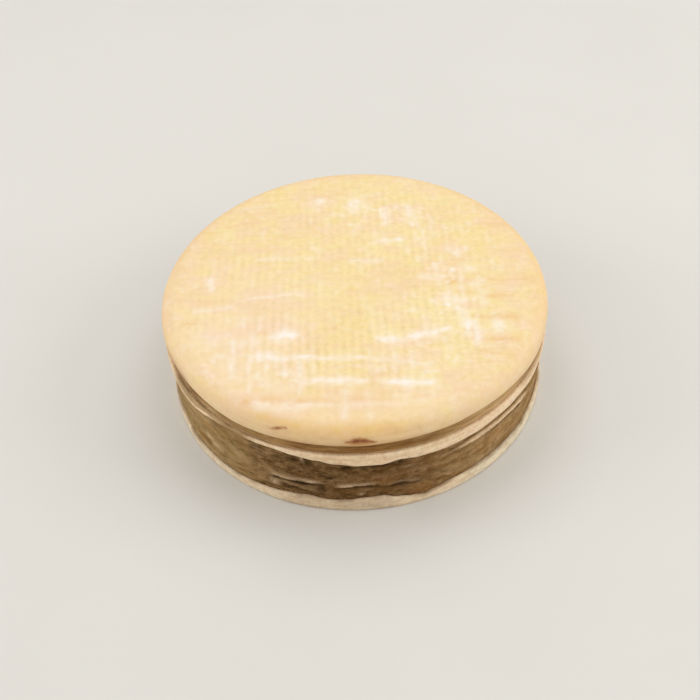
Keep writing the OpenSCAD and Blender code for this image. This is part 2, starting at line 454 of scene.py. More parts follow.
def bark_material():
    k = Mat("dark_bark", 0.9, 0.08)
    strand = k.noise(k.stretched(80, 80, 400), 1.0, 4, 0.6, 0.4)
    blot = k.noise(k.stretched(400, 400, 620), 1.0, 3, 0.6, 0.3)
    short = k.noise(k.stretched(820, 820, 1500), 1.0, 4, 0.62, 0.2)
    wide = k.noise(k.coord, 40, 3, 0.55)
    grit = k.noise(k.coord, 1800, 3, 0.62)
    deep, dark, mid = bark_rgb(72, 46, 14), bark_rgb(112, 83, 45), bark_rgb(142, 112, 72)
    lively = k.span(k.attr("calm"), 0.0, 0.6, 1.0, 0.4, False)
    light, pale = bark_rgb(170, 140, 100), bark_rgb(214, 186, 152)
    base = k.ramp(strand, [(0.28, dark), (0.46, mid), (0.58, bark_rgb(150, 121, 82)), (0.76, light)])
    base = k.mix(k.math("MULTIPLY", k.span(blot, 0.5, 0.66, 0.0, 0.7), lively), base, bark_rgb(104, 74, 34))
    base = k.mix(k.math("MULTIPLY", k.span(blot, 0.47, 0.33, 0.0, 0.65), lively), base, bark_rgb(176, 148, 108))
    base = k.mix(k.span(short, 0.52, 0.7, 0.0, 0.5), base, light)
    base = k.mix(k.math("MULTIPLY", k.span(short, 0.47, 0.32, 0.0, 0.6), lively), base, deep)
    base = k.mix(k.span(wide, 0.45, 0.7, 0.0, 0.45), base, bark_rgb(136, 96, 50))
    patch = k.noise(k.stretched(120, 120, 260), 1.0, 3, 0.5, 0.4)
    base = k.mix(k.span(patch, 0.5, 0.66, 0.0, 0.5), base, bark_rgb(124, 92, 46))
    base = k.mix(k.span(patch, 0.48, 0.33, 0.0, 0.4), base, bark_rgb(178, 152, 116))
    base = k.mix(k.attr("olive"), base, k.mix(k.span(strand, 0.35, 0.7), bark_rgb(142, 120, 74), bark_rgb(172, 150, 104)))
    # painted highlight on the bumps' tops
    base = k.mix(k.math("MULTIPLY", k.attr("crest"), 0.35), base, light)
    base = k.mix(k.attr("red"), base, bark_rgb(150, 98, 46))
    # darker where the dark attribute says: painted shade at the front's middle, darker bark patches round the back
    dim = k.mix(1.0, base, (0.47, 0.40, 0.33, 1), "MULTIPLY")
    base = k.mix(k.attr("dark"), base, dim)
    # painted shade in hollows, under slivers and by the hoops, with the real cracks and seam
    base = k.mix(k.math("MULTIPLY", k.attr("cleft"), 0.8), base, bark_rgb(58, 37, 10))
    # almost black cracks and patches, some of them painted shadow under the slivers and the upper hoop
    base = k.mix(k.math("MULTIPLY", k.attr("black"), 0.92), base, bark_rgb(36, 22, 3))
    base = k.mix(k.math("MULTIPLY", k.attr("pale"), k.span(grit, 0.3, 0.6, 0.6, 1.1), True), base, pale)
    base = k.mix(k.span(grit, 0.55, 0.72, 0.0, 0.22), base, bark_rgb(166, 136, 100))
    base = k.mix(k.span(grit, 0.45, 0.3, 0.0, 0.26), base, bark_rgb(70, 46, 20))
    k.colour(base)
    k.roughness(k.span(strand, 0.3, 0.7, 0.92, 0.74))
    k.bump(k.math("ADD", k.math("ADD", k.math("MULTIPLY", short, 1.0), k.math("MULTIPLY", grit, 0.4)), k.math("MULTIPLY", blot, 1.2)), 0.8, 0.0004)
    return k.m


def bast_material():
    k = Mat("pale_bast", 0.7, 0.26)
    strand = k.noise(k.stretched(50, 50, 560), 1.0, 4, 0.6, 0.25)
    fibre = k.noise(k.stretched(200, 200, 2000), 1.0, 3, 0.6)
    wide = k.noise(k.coord, 60, 3, 0.5)
    grit = k.noise(k.coord, 1100, 3, 0.6)
    base = k.ramp(strand, [(0.25, side_rgb(200, 170, 130)), (0.45, side_rgb(220, 192, 156)), (0.6, side_rgb(229, 204, 170)), (0.8, side_rgb(211, 182, 144))])
    base = k.mix(k.span(fibre, 0.5, 0.72, 0.0, 0.45), base, side_rgb(184, 152, 112))
    base = k.mix(k.span(fibre, 0.45, 0.28, 0.0, 0.35), base, side_rgb(238, 216, 184))
    base = k.mix(k.span(wide, 0.42, 0.68, 0.0, 0.4), base, side_rgb(222, 188, 156))
    fleck = k.noise(k.stretched(420, 420, 620), 1.0, 3, 0.6)
    base = k.mix(k.span(fleck, 0.5, 0.68, 0.0, 0.4), base, side_rgb(196, 160, 124))
    base = k.mix(k.span(fleck, 0.48, 0.32, 0.0, 0.35), base, side_rgb(240, 218, 180))
    base = k.mix(k.span(grit, 0.5, 0.66, 0.0, 0.3), base, side_rgb(180, 148, 110))
    base = k.mix(k.span(grit, 0.48, 0.34, 0.0, 0.25), base, side_rgb(240, 222, 194))
    base = k.mix(k.attr("rosy"), base, side_rgb(214, 176, 150))
    base = k.mix(k.attr("grey"), base, k.mix(k.span(fleck, 0.35, 0.65), side_rgb(220, 208, 182), side_rgb(196, 180, 150)))
    # darkened where the dull attribute says: painted shade at the front's middle, dimmer patches elsewhere
    base = k.mix(k.attr("dull"), base, k.mix(1.0, base, (0.74, 0.74, 0.74, 1), "MULTIPLY"))
    base = k.mix(k.attr("olive"), base, k.mix(k.span(fibre, 0.35, 0.65), side_rgb(136, 108, 68), side_rgb(176, 148, 104)))
    # darker torn edges and seams, with grime and painted shade along the lower hoop's bottom edge
    base = k.mix(k.attr("edge_dark"), base, side_rgb(128, 98, 62))
    k.colour(base)
    k.roughness(k.span(strand, 0.3, 0.7, 0.78, 0.62))
    k.bump(k.math("ADD", fibre, k.math("MULTIPLY", grit, 0.8)), 0.5, 0.0002)
    return k.m


def skirt_material():
    k = Mat("brown_bark", 0.76, 0.24)
    strand = k.noise(k.stretched(90, 90, 800), 1.0, 4, 0.6, 0.3)
    blot = k.noise(k.stretched(150, 150, 400), 1.0, 3, 0.6)
    short = k.noise(k.stretched(330, 330, 2000), 1.0, 3, 0.6)
    wide = k.noise(k.coord, 34, 2, 0.5)
    base = k.ramp(strand, [(0.25, side_rgb(132, 98, 56)), (0.45, side_rgb(160, 126, 82)), (0.6, side_rgb(184, 150, 102)), (0.8, side_rgb(164, 130, 84))])
    base = k.mix(k.span(blot, 0.5, 0.68, 0.0, 0.5), base, side_rgb(140, 98, 54))
    base = k.mix(k.span(short, 0.5, 0.7, 0.0, 0.5), base, side_rgb(116, 80, 42))
    base = k.mix(k.span(short, 0.45, 0.3, 0.0, 0.35), base, side_rgb(198, 166, 120))
    base = k.mix(k.span(wide, 0.42, 0.7, 0.0, 0.35), base, side_rgb(150, 124, 74))
    # browner and darker where the dark attribute says, partly painted shade at the front's middle
    dim = k.mix(1.0, base, (0.56, 0.43, 0.24, 1), "MULTIPLY")
    base = k.mix(k.attr("dark"), base, dim)
    # paler lower skirt, partly painted light over the shade by the hoop
    base = k.mix(k.math("MULTIPLY", k.attr("foot"), 0.75), base, side_rgb(210, 176, 132))
    base = k.mix(k.attr("inside"), base, k.mix(k.span(short, 0.35, 0.65), side_rgb(186, 150, 102), side_rgb(204, 172, 126)))
    k.colour(base)
    k.bump(k.math("ADD", short, k.math("MULTIPLY", strand, 0.6)), 0.5, 0.0002)
    return k.m


def peg_material():
    k = Mat("peg_wood", 0.6, 0.3)
    rings = k.noise(k.stretched(900, 260, 900), 1.0, 3, 0.6)
    fine = k.noise(k.coord, 2600, 3, 0.6)
    base = k.ramp(rings, [(0.3, rgb(122, 82, 44)), (0.5, rgb(170, 126, 76)), (0.72, rgb(198, 156, 102))])
    base = k.mix(k.span(fine, 0.5, 0.72, 0.0, 0.6), base, rgb(92, 58, 28))
    k.colour(base)
    k.bump(k.math("ADD", rings, fine), 0.5, 0.0001)
    return k.m


def steel_material(name, tint):
    k = Mat(name, 0.36, 0.5)
    k.bsdf.inputs["Metallic"].default_value = 1.0
    marks = k.noise(k.stretched(500, 500, 4000), 1.0, 3, 0.6)
    dull = k.noise(k.coord, 600, 3, 0.6)
    k.colour(k.mix(k.span(dull, 0.42, 0.7), tint, rgb(128, 122, 112)))
    k.roughness(k.span(marks, 0.3, 0.7, 0.28, 0.5))
    k.bump(marks, 0.25, 0.00005)
    return k.m


LIMED = cap_material()
TURNED = wood_material("turned_wood", rgb(238, 208, 158), rgb(226, 190, 138), rgb(206, 164, 110), rough=0.55)
VENEER = wood_material("veneer", rgb(236, 206, 158), rgb(224, 190, 140), rgb(200, 160, 110), round_it=True, rough=0.58)
FLOOR = wood_material("floor_wood", rgb(228, 194, 144), rgb(212, 174, 122), rgb(178, 134, 86), turned=math.radians(8), rough=0.68)
BARK, BAST, SKIRT = bark_material(), bast_material(), skirt_material()
PEG = peg_material()
STAPLE, BRAD = steel_material("staple_steel", rgb(198, 198, 196)), steel_material("brad_steel", rgb(188, 188, 188))

# ---------------------------------------------------------------- shapes shared by several pieces

# The pale hoops' torn edges, as heights at az. The front follows the photograph and the rest goes on in the same way.
UP_EDGE = [
    (-62, 20.2), (-58, 20.5), (-54, 21.0), (-50, 22.0), (-47, 22.9), (-44, 23.5), (-38, 24.0), (-32, 23.9), (-25, 24.1), (-19, 23.4), (-13, 22.6), (-7, 21.6), (-1, 20.9),
    (5, 20.9), (10, 21.9), (16, 21.3), (24, 21.1), (31, 21.3), (38, 21.6), (46, 21.6), (52, 21.8), (58, 21.2), (70, 22.0), (84, 21.2), (100, 21.7),
    (116, 20.9), (133, 21.8), (150, 21.3), (168, 21.9), (186, 21.0), (204, 22.1), (222, 21.4), (240, 22.4), (256, 21.3), (274, 21.9),
    (287, 21.1),
]
LOW_EDGE = [
    (-58, 3.0), (-50, 2.8), (-40, 2.7), (-31, 3.4), (-26, 3.8), (-22, 4.45), (-16, 5.15), (-10, 4.15), (-5, 4.45), (1, 5.4), (5, 5.7), (10, 4.05),
    (14, 3.1), (17.5, 2.3), (20, 3.3), (25, 4.4), (30, 4.5), (36, 4.95), (45, 4.9), (56, 4.35), (70, 4.9), (85, 3.9), (101, 5.1), (118, 4.4),
    (136, 5.4), (154, 4.3), (171, 5.1), (188, 4.4), (206, 5.3), (223, 4.0), (241, 5.0), (259, 4.2), (276, 5.0), (290, 4.1),
]
# Height of the cap's lower edge at az, which is a little uneven.
LIP_EDGE = [
    (-60, 30.42), (-52, 30.3), (-47, 29.85), (-42, 29.45), (-37, 29.2), (-31, 29.25), (-25, 29.3), (-20, 29.6), (-14, 29.6), (-8, 29.66), (0, 29.62),
    (8, 29.86), (18, 30.05), (26, 29.97), (32, 30.3), (38, 30.1), (46, 29.75), (50, 29.5), (54, 29.1), (58, 28.75), (64, 28.75), (76, 29.7), (104, 29.9), (130, 30.2), (158, 29.9),
    (184, 30.15), (210, 29.85), (236, 30.2), (262, 29.9), (284, 30.15),
]


def up_edge(az):
    return along(az, UP_EDGE) + 0.22 * round_noise(az, 0, 96, 1, 5, 4, 0.6)


def low_edge(az):
    return along(az, LOW_EDGE) + 0.22 * round_noise(az, 0, 96, 1, 9, 4, 0.6)


def lap_step(az, end, height, run=7.0):
    """The thickening towards the outer end of a lapped strip, and the sudden drop past it."""
    d = turn(az, end)
    return np.where(d < 0, height * np.exp(d / run), 0.0)


# Raised slivers of the bark: az from, az to, z at each end, how far it stands up, how pale its lip is.
SLIVERS = [
    (-28.5, -10, 10.2, 11.2, 0.34, 0.6), (-9, 5, 10.5, 11.1, 0.24, 0.42), (5, 18, 10.4, 9.6, 0.12, 0.12), (-26, -12, 8.1, 7.4, 0.12, 0.1),
    (80, 102, 14.2, 13.4, 0.24, 0.42), (104, 128, 18.7, 19.3, 0.2, 0.4), (122, 146, 10.2, 11.0, 0.24, 0.45),
    (192, 207, 12.8, 12.2, 0.2, 0.35), (222, 250, 16.6, 15.4, 0.26, 0.5), (236, 256, 9.8, 9.0, 0.2, 0.35), (258, 284, 13.0, 14.0, 0.26, 0.5),
    (150, 168, 17.0, 17.6, 0.2, 0.35),
]


def second_edge(az):
    """Height of the pale ledge of inner bark that shows through on the right of the front."""
    return along(az, [(14, 16.2), (24, 16.8), (32, 17.1), (40, 17.2), (46, 17.2), (50, 16.6), (54, 16.0), (60, 15.0), (70, 14.6)])


def slivers(az, z):
    """(height, paleness, shadow) of the raised slivers at each point."""
    t = turn(az, 40)
    wide = smooth((t + 19) / 13) * smooth((22 - t) / 7)
    tall = 0.7 + 1.4 * wide
    over = z - second_edge(az) - 0.2 * round_noise(az, 0, 48, 1, 77, 4, 0.6)
    ragged = 1.0 + 0.4 * round_noise(az, z, 90, 0.9, 78, 3)
    h = 0.3 * wide * smooth((over + 0.15) / 0.35) * smooth((tall - over) / 0.8)
    pale = 0.8 * wide * smooth((over + 0.35) / 0.9) * smooth((tall + 0.1 - over) / 1.0) * np.clip(ragged, 0.45, 1.2)
    shade = wide * ((0.35 + 0.45 * smooth((t + 4) / 8)) * np.exp(-(((over + 0.9) / 0.6) ** 2)) + 0.5 * np.exp(-(((over - tall - 0.7) / 0.8) ** 2)))
    for i, (a0, a1, z0, z1, up, light) in enumerate(SLIVERS):
        mid, half = (a0 + a1) / 2, (a1 - a0) / 2
        d = turn(az, mid) / half
        ends = smooth((1 - np.abs(d)) * 1.8) * (1 if i < 4 else smooth(0.75 + 0.9 * round_noise(az, 0, 36, 1, 190 + i, 2)))
        lip = z0 + (z1 - z0) * (d + 1) / 2 + 0.4 * round_noise(az, 0, 48, 1, 60 + i, 4, 0.6) + 0.15 * np.sin(d * 4 + i)
        over = z - lip
        ragged = 0.95 + 0.7 * round_noise(az, z, 84, 1.6, 90 + i, 3)
        h = h + up * ends * ragged * smooth((over + 0.12) / 0.28) * np.exp(-np.clip(over, 0, 99) / 1.5)
        pale = pale + light * ends * np.exp(-(((over - 0.65) / 0.8) ** 2)) * np.clip(ragged, 0.3, 1.3)
        shade = shade + ends * np.exp(-(((over + 0.75) / 0.55) ** 2))
    return h, np.clip(pale, 0, 1), np.clip(shade, 0, 1)


# Stains on the bark: az, z, half width in mm along and up, strength. Pale, reddish and almost black ones. The almost
# black ones are cracks and dark patches, and some of them are painted shadow under the slivers, under the pale ledge
# and under the upper hoop.
PALE_STAINS = [(-49.8, 11.0, 1.5, 1.2, 0.55), (-47.4, 9.0, 2.0, 1.4, 0.4), (-16.9, 20.8, 0.5, 1.2, 0.6), (-26, 7.4, 1.3, 1.4, 0.35), (-1, 7.0, 0.7, 0.6, 0.4), (-57, 17.5, 3.0, 0.8, 0.35), (12, 17.5, 3.0, 0.5, 0.15), (96, 14, 5, 1.0, 0.4), (212, 12, 6, 1.1, 0.4), (262, 17, 5, 0.9, 0.35), (140, 9, 5, 1.0, 0.35)]
RED_STAINS = [(16, 5.2, 4.0, 2.6, 0.65), (-55, 6.8, 2.4, 1.6, 0.45), (-52, 8.2, 2.6, 1.7, 0.55), (-11.5, 9.5, 1.6, 2.0, 0.4), (-51, 16.5, 3.5, 2.0, 0.45), (8, 13.5, 5, 2.2, 0.3), (40, 12, 7, 3.0, 0.3), (118, 15, 8, 3, 0.5), (188, 8, 8, 3, 0.5), (250, 10, 8, 3, 0.45)]
BLACK_MARKS_AND_SHADOWS = [
    (-51.6, 7.8, 2.4, 1.4, 0.6), (-53.4, 13.4, 2.2, 1.5, 0.35), (-17, 10.1, 3.0, 0.5, 2.0), (-21.8, 10.0, 2.0, 0.45, 1.3), (-25.4, 9.8, 1.2, 0.6, 1.2),
    (-26.3, 8.9, 0.6, 1.1, 0.9), (-11.9, 9.2, 1.5, 1.7, 0.8), (-9.2, 14.4, 1.3, 1.3, 0.9), (-5.2, 18.9, 2.6, 0.8, 0.9), (4.0, 19.3, 4.2, 0.65, 1.1),
    (-24, 19.3, 2.3, 0.9, 0.8), (-19.2, 20.3, 1.6, 1.2, 0.9), (-15.1, 20.5, 1.1, 1.6, 0.9), (-21.6, 13.6, 2.0, 0.6, 0.7), (-22, 6.4, 1.8, 0.6, 0.7),
    (-12.5, 5.8, 1.6, 0.5, 0.6), (0.2, 6.2, 1.0, 0.7, 0.7), (2.5, 10.2, 4.8, 0.7, 0.6), (11, 10.0, 3.2, 0.6, 0.8), (22.6, 9.9, 0.9, 0.7, 0.8),
    (32.5, 10.4, 3.8, 0.6, 0.4), (10.2, 19.8, 1.0, 1.4, 0.8), (54, 14.6, 1.8, 0.7, 0.7), (-30, 21.2, 2.0, 1.0, 0.6), (-46, 20.8, 1.8, 1.0, 0.4),
    (83, 12, 5, 0.8, 0.7), (128, 17, 6, 0.8, 0.6), (160, 12, 5, 1.2, 0.6), (204, 17, 7, 0.9, 0.7), (236, 13, 5, 1.2, 0.6), (282, 11, 5, 1.0, 0.6),
]


def stains_and_shadows(az, z, items, seed):
    out = 0.0
    wz = z + 0.5 * round_noise(az, z, 70, 2.4, seed, 3)
    wa = az + 1.1 * round_noise(az, z, 70, 2.4, seed + 1, 3)
    for a, c, w, h, s in items:
        d = turn(wa, a) * STRAP_OUT * math.pi / 180
        out = np.maximum(out, s * np.exp(-np.abs(d / w) ** 2.4 - np.abs((wz - c) / h) ** 2.4))
    return out * np.clip(0.75 + 0.8 * round_noise(az, z, 110, 1.2, seed + 2, 3), 0, 1.2)


def coarse(az):
    """How coarse the bark is: roughest in the middle of the front, smoother at its sides."""
    return along(az, [(-60, 0.4), (-46, 0.45), (-34, 0.72), (-24, 1.0), (6, 1.0), (14, 0.75), (24, 0.45), (60, 0.4), (100, 0.7), (180, 0.85), (260, 0.7), (292, 0.45)])


def bark_parts(az, z):
    """The bark's relief in millimetres, and what its material needs."""
    zz = z + 0.9 * round_noise(az, z, 10, 11, 31, 2) + 0.35 * round_noise(az, z, 34, 4, 33, 2)
    long = round_noise(az, zz, 34, 1.4, 41, 4, 0.6)
    ridge = 1 - 2 * np.abs(round_noise(az, zz, 56, 2.1, 47, 3, 0.55))
    knob = round_noise(az, zz, 190, 1.35, 49, 3, 0.6)
    fine = round_noise(az, zz, 300, 0.7, 53, 2, 0.6)
    swell = round_noise(az, z, 9, 9, 59, 3)
    # short upright cracks under the upper hoop, on the left of the front's middle
    under = smooth((z - up_edge(az) + 5.0) / 2.0)
    stitch = smooth((turn(az, -36)) / 6) * smooth((18 - turn(az, 0)) / 12) * under * smooth(round_noise(az + 0.5 * z, z, 150, 3.2, 61, 2) * 2.2 - 0.1)
    h, pale, shade = slivers(az, z)
    rasp = coarse(az)
    relief = 0.12 * long + 0.13 * ridge + rasp * (0.34 * knob + 0.1 * fine) + 0.14 * swell + h - 0.2 * shade - 0.25 * stitch - 0.3 * np.clip(stains_and_shadows(az, z, BLACK_MARKS_AND_SHADOWS, 65), 0, 1)
    rough = 0.8 * knob + 0.3 * long + 0.25 * fine
    return relief, rough, ridge, stitch, pale, shade


def shown(az, z):
    """1 where the bark is bare between the hoops, falling to 0 under them."""
    return smooth((z - low_edge(az) + 0.2) / 0.9) * smooth((up_edge(az) - z + 0.2) / 0.9)


def olive(az, z):
    """Where the bark turns olive, on the left of the front and in patches elsewhere."""
    t = turn(az, -59)
    left = smooth((31 - t) / 18) * smooth((31 + t) / 20)
    patch = smooth(round_noise(az, z, 7, 14, 71, 2) * 1.8 - 0.35)
    return np.clip(0.62 * left * (0.8 + 0.4 * round_noise(az, z, 24, 4, 72, 3)) + 0.5 * patch * (1 - left), 0, 0.85)


def dark(az, z=0.0):
    """How much darker the bark is painted: painted shade at the middle of the front, and darker bark in patches round
    the back.
    """
    front = along(az, [(-50, 0.05), (-40, 0.22), (-33, 0.42), (-26, 0.62), (-18, 0.95), (-2, 1.0), (10, 0.9), (18, 0.6), (28, 0.25), (38, 0.0), (70, 0.1), (180, 0.5), (290, 0.1)])
    behind = smooth((np.abs(turn(az, 0)) - 60) / 20)
    return np.clip(front * (1 - behind) + behind * (0.45 + 0.9 * round_noise(az, z, 7, 30, 73, 2)), 0, 1)


# ---------------------------------------------------------------- the base

# bark strap
az = columns(640, [STRAP_END])


def strap_relief(a, z):
    relief = bark_parts(a, z)[0]
    m = shown(a, z)
    near_peg = 0.0
    for pz in STRAP_PEG_Z:
        near_peg = np.maximum(near_peg, smooth(1.9 - np.hypot(turn(a, STRAP_PEG_AZ) * STRAP_OUT * math.pi / 180, z - pz)))
    relief = np.clip(relief, -0.55, 0.78)
    relief = relief * (1 - near_peg) - 0.12 * near_peg
    return m * (relief + lap_step(a, STRAP_END, 0.5)) - 0.06 * (1 - m)


def strap_values(a, z, face, r):
    _, rough, ridge, stitch, pale, shade = bark_parts(a, z)
    out = (face > 0.75).astype(float)
    seam = np.exp(-np.clip(turn(a, STRAP_END), 0, 99) / 0.5) * (turn(a, STRAP_END) >= 0)
    # painted shadow just under the upper hoop's edge, and painted shade just above the lower hoop
    under = np.exp(-((np.clip(up_edge(a) - z, 0, 9) / 1.1) ** 2)) * (0.35 + 0.45 * dark(a))
    over = 0.12 * np.exp(-((np.clip(z - low_edge(a), 0, 9) / 0.9) ** 2))
    black = stains_and_shadows(a, z, BLACK_MARKS_AND_SHADOWS, 65)
    return {
        "pale": np.maximum(out * np.clip(np.maximum(pale, stains_and_shadows(a, z, PALE_STAINS, 71)), 0, 1), 0.8 * smooth((z - SEAT_Z + 0.5) / 0.3)),
        "red": stains_and_shadows(a, z, RED_STAINS, 69),
        # painted shade in the bark's hollows, painted shadow under the slivers and along the hoops, with the real
        # cracks and the lapped seam
        "cleft": np.clip(smooth(-rough * 2.3 - 0.15) * 0.8 * coarse(a) + shade * out + seam + under + over + 0.8 * stitch, 0, 1),
        "black": np.clip(black, 0, 1) * smooth((SEAT_Z - 0.3 - z) / 0.5),
        # painted highlight on the tops of the bark's bumps
        "crest": smooth(rough * 2.3 - 0.2) * (0.5 + 0.5 * smooth(ridge)),
        "olive": olive(a, z),
        "calm": 1.0 - coarse(a),
        # dark: painted shade at the middle of the front, darker bark in patches round the back
        "dark": np.clip(dark(a, z) + 0.3 * round_noise(a, z, 22, 3.5, 74, 3), 0, 1),
    }


strap = bent_strip(
    "bark_strap_v", az, LINER_OUT, STRAP_OUT, STRAP_Z0 + 0 * az, SEAT_Z - 0.03 * np.ones_like(az) - 0.05 * np.abs(round_noise(az, 0, 80, 1, 3, 3)),
    122, 8, 0.25, strap_relief, lambda a, z: 0 * a, strap_values, [BARK],
)

# the two pale hoops


def hoop_relief(seed, end):
    def f(a, z):
        r = 0.05 * round_noise(a, z, 40, 1.4, seed, 4, 0.6) + 0.05 * round_noise(a, z, 14, 6, seed + 3, 2)
        r = r + 0.05 * round_noise(a, z, 150, 0.7, seed + 7, 3, 0.6)
        return r - 0.04 + lap_step(a, end, 0.22, 5.0)

    return f


def shaded_and_dimmed(az):
    """How much the lower hoop is darkened: painted shade at the middle of the front, and dimmer patches round the back.
    """
    return along(az, [(-60, 0.0), (-30, 0.0), (-18, 0.75), (6, 0.82), (12, 0.25), (17, -0.1), (26, -0.05), (60, 0.1), (120, 0.45), (180, 0.35), (240, 0.45), (292, 0.05)])


def hoop_values(edge_of, upper_one, end):
    def f(a, z, face, r):
        torn = np.exp(-((np.clip(np.abs(z - edge_of(a)), 0, 9) / (0.5 + 0.25 * round_noise(a, 0, 90, 1, 82, 2))) ** 2)) * 0.55 * (face > 0.2)
        seam = np.exp(-np.clip(turn(a, end), 0, 99) / 0.4) * (turn(a, end) >= 0)
        blot = smooth(round_noise(a, z, 16, 5, 83 + upper_one, 3) * 2 - 0.7) * 0.3
        stain = 0.0
        if upper_one:
            # on the left of the front the bast is stained down to a pale streak along its lower edge
            t = turn(a, 0)
            here = smooth((t + 70) / 8) * smooth((-27 - t) / 9)
            streak = smooth((-44.5 - t) / 3.5) * smooth((edge_of(a) + 1.8 - z + 0.3 * round_noise(a, 0, 60, 1, 85, 2)) / 0.5)
            stain = here * (1 - 0.95 * streak) * (0.9 + 0.3 * round_noise(a, z, 40, 1.5, 86, 3))
            stain = np.maximum(stain, 0.35 * here * smooth((z - 24.9) / 0.3))
            stain = np.maximum(stain, 0.6 * smooth((t - 49) / 7) * smooth((72 - t) / 7) * smooth((z - 22.8) / 2.4))
            # the hoop's top next to the skirt: a brown stain, deepest on the left, with painted shade in the corner
            # under the skirt
            ledge = smooth((z - (SEAT_Z - 0.5)) / 0.3) * smooth((HOOP_OUT - 0.05 - r) / 0.85)
            deep = smooth((t + 66) / 8) * smooth((-17 - t) / 8)
            stain = np.maximum(stain, ledge * (0.1 + 0.85 * deep + 0.25 * round_noise(a, 0, 90, 1, 88, 3)))
        # darker towards the lower hoop's bottom edge: grime and painted shade where it meets the floor
        grime_and_shade = 0.0 if upper_one else 0.4 * np.exp(-((np.clip(z, 0, 9) / 0.6) ** 2))
        return {
            "edge_dark": np.clip(torn * smooth(0.6 + round_noise(a, 0, 60, 1, 87, 2)) + seam + grime_and_shade, 0, 1),
            "olive": np.clip(stain + blot, 0, 0.95),
            "rosy": (0.12 if upper_one else 0.22) * smooth(0.5 + 0.9 * round_noise(a, z, 20, 5, 89, 2)),
            "grey": 0 * a if upper_one else np.clip(0.6 - 0.35 * dark(a) + 0.3 * smooth((turn(a, 45) + 18) / 8) * smooth((30 - turn(a, 45)) / 20) + 0.3 * round_noise(a, z, 34, 3.4, 90, 3), 0, 1),
            # dull: painted shade at the front's middle, dimmer patches round the back
            "dull": 0 * a if upper_one else np.clip(-0.05 + shaded_and_dimmed(a) + 0.35 * round_noise(a, z, 60, 2.4, 84, 3), 0, 1),
        }

    return f


az = columns(900, [UP_END])
upper = bent_strip(
    "upper_hoop_v", az, STRAP_OUT, HOOP_OUT, up_edge(az), SEAT_Z - 0.02 - 0.06 * np.abs(round_noise(az, 0, 70, 1, 13, 3)),
    24, 4, 0.28, hoop_relief(101, UP_END), lambda a, z: 0 * a, hoop_values(up_edge, 1, UP_END), [BAST], 0.06,
)
az = columns(900, [LOW_END])
lower = bent_strip(
    "lower_hoop_v", az, STRAP_OUT, HOOP_OUT, LOW_Z0 + 0 * az, low_edge(az),
    26, 4, 0.42, hoop_relief(131, LOW_END), lambda a, z: 0 * a, hoop_values(low_edge, 0, LOW_END), [BAST], 0.1,
)

# the bent veneer wall
az = columns(600, [LINER_END])


def liner_inner(a, z):
    d = turn(a, LINER_END)  # the inner end of the veneer: it laps over itself on the inside
    lap = np.where(d > 0, -0.22 * np.exp(-d / 6.0), 0.0)
    return lap + 0.05 * round_noise(a, z, 12, 9, 151, 2) + 0.015 * round_noise(a, z, 60, 0.8, 153, 3)


def liner_outer(a, z):
    return 0.03 * round_noise(a, z, 40, 1.0, 157, 3) - 0.03 * smooth((SEAT_Z - z) / 0.5)


liner = bent_strip(
    "liner_hoop_v", az, LINER_IN, LINER_OUT, 0.0 * az, NECK_Z - 0.02 - 0.08 * np.abs(round_noise(az, 0, 40, 1, 159, 3)),
    40, 70, 0.3, liner_outer, liner_inner, lambda a, z, f, r: {}, [VENEER],
)

# the floor board: a flat disc with an eased edge and planing marks
rings = []


def floor_top(x, y):
    across = y * math.cos(math.radians(8)) - x * math.sin(math.radians(8))
    down = x * math.cos(math.radians(8)) + y * math.sin(math.radians(8))
    marks = 0.022 * np.sin(down / 3.1 * 2 * math.pi + 1.3 * fbm(across / 22, down / 30, 171, 2))
    return marks * (0.6 + 0.4 * fbm(x / 18, y / 18, 173, 2)) + 0.03 * fbm(down / 30, across / 1.6, 175, 3) - 0.04


def disc(r, n, z, wave, tag):
    a = np.arange(n) * 360.0 / n
    p = polar(a, np.full(n, r), np.zeros(n))
    p[:, 2] = z + wave(p[:, 0], p[:, 1])
    return (n, p, tag)


FLOOR_R = LINER_IN - 0.05
radii = np.concatenate([[0.5], np.arange(1.2, FLOOR_R - 0.5, 0.8)])
rings.append((1, [[0, 0, FLOOR_Z + float(floor_top(np.array([0.0]), np.array([0.0]))[0])]], 0))
for r in radii:
    rings.append(disc(r, count_at(r, 384, 0.92), FLOOR_Z, floor_top, 0))
for r, dz in ((FLOOR_R - 0.4, -0.02), (FLOOR_R - 0.15, -0.12), (FLOOR_R, -0.35), (FLOOR_R, -1.5), (FLOOR_R, -(FLOOR_Z - 0.35))):
    rings.append((384, polar(np.arange(384) * 360 / 384, np.full(384, r), np.full(384, FLOOR_Z + dz)), 0))


def floor_under(x, y):
    return -floor_top(x + 31, y - 17) * 0.8 - 0.075 + 0.08


for r, z in ((FLOOR_R - 0.15, 0.12), (FLOOR_R - 0.4, 0.03)):
    rings.append((384, polar(np.arange(384) * 360 / 384, np.full(384, r), np.full(384, z)), 0))
for r in radii[::-1]:
    n = count_at(r, 384, 0.92)
    a = np.arange(n) * 360.0 / n
    p = polar(a, np.full(n, r), np.zeros(n))
    p[:, 2] = np.clip(0.02 + 0.6 * (floor_top(p[:, 0] + 31, p[:, 1] - 17) + 0.04), 0, 0.2)
    rings.append((n, p, 0))
rings.append((1, [[0, 0, 0.02]], 0))
floor_piece = ring_stack("floor_board_v", rings, lambda v, t: {}, [FLOOR])

# ---------------------------------------------------------------- small fastenings


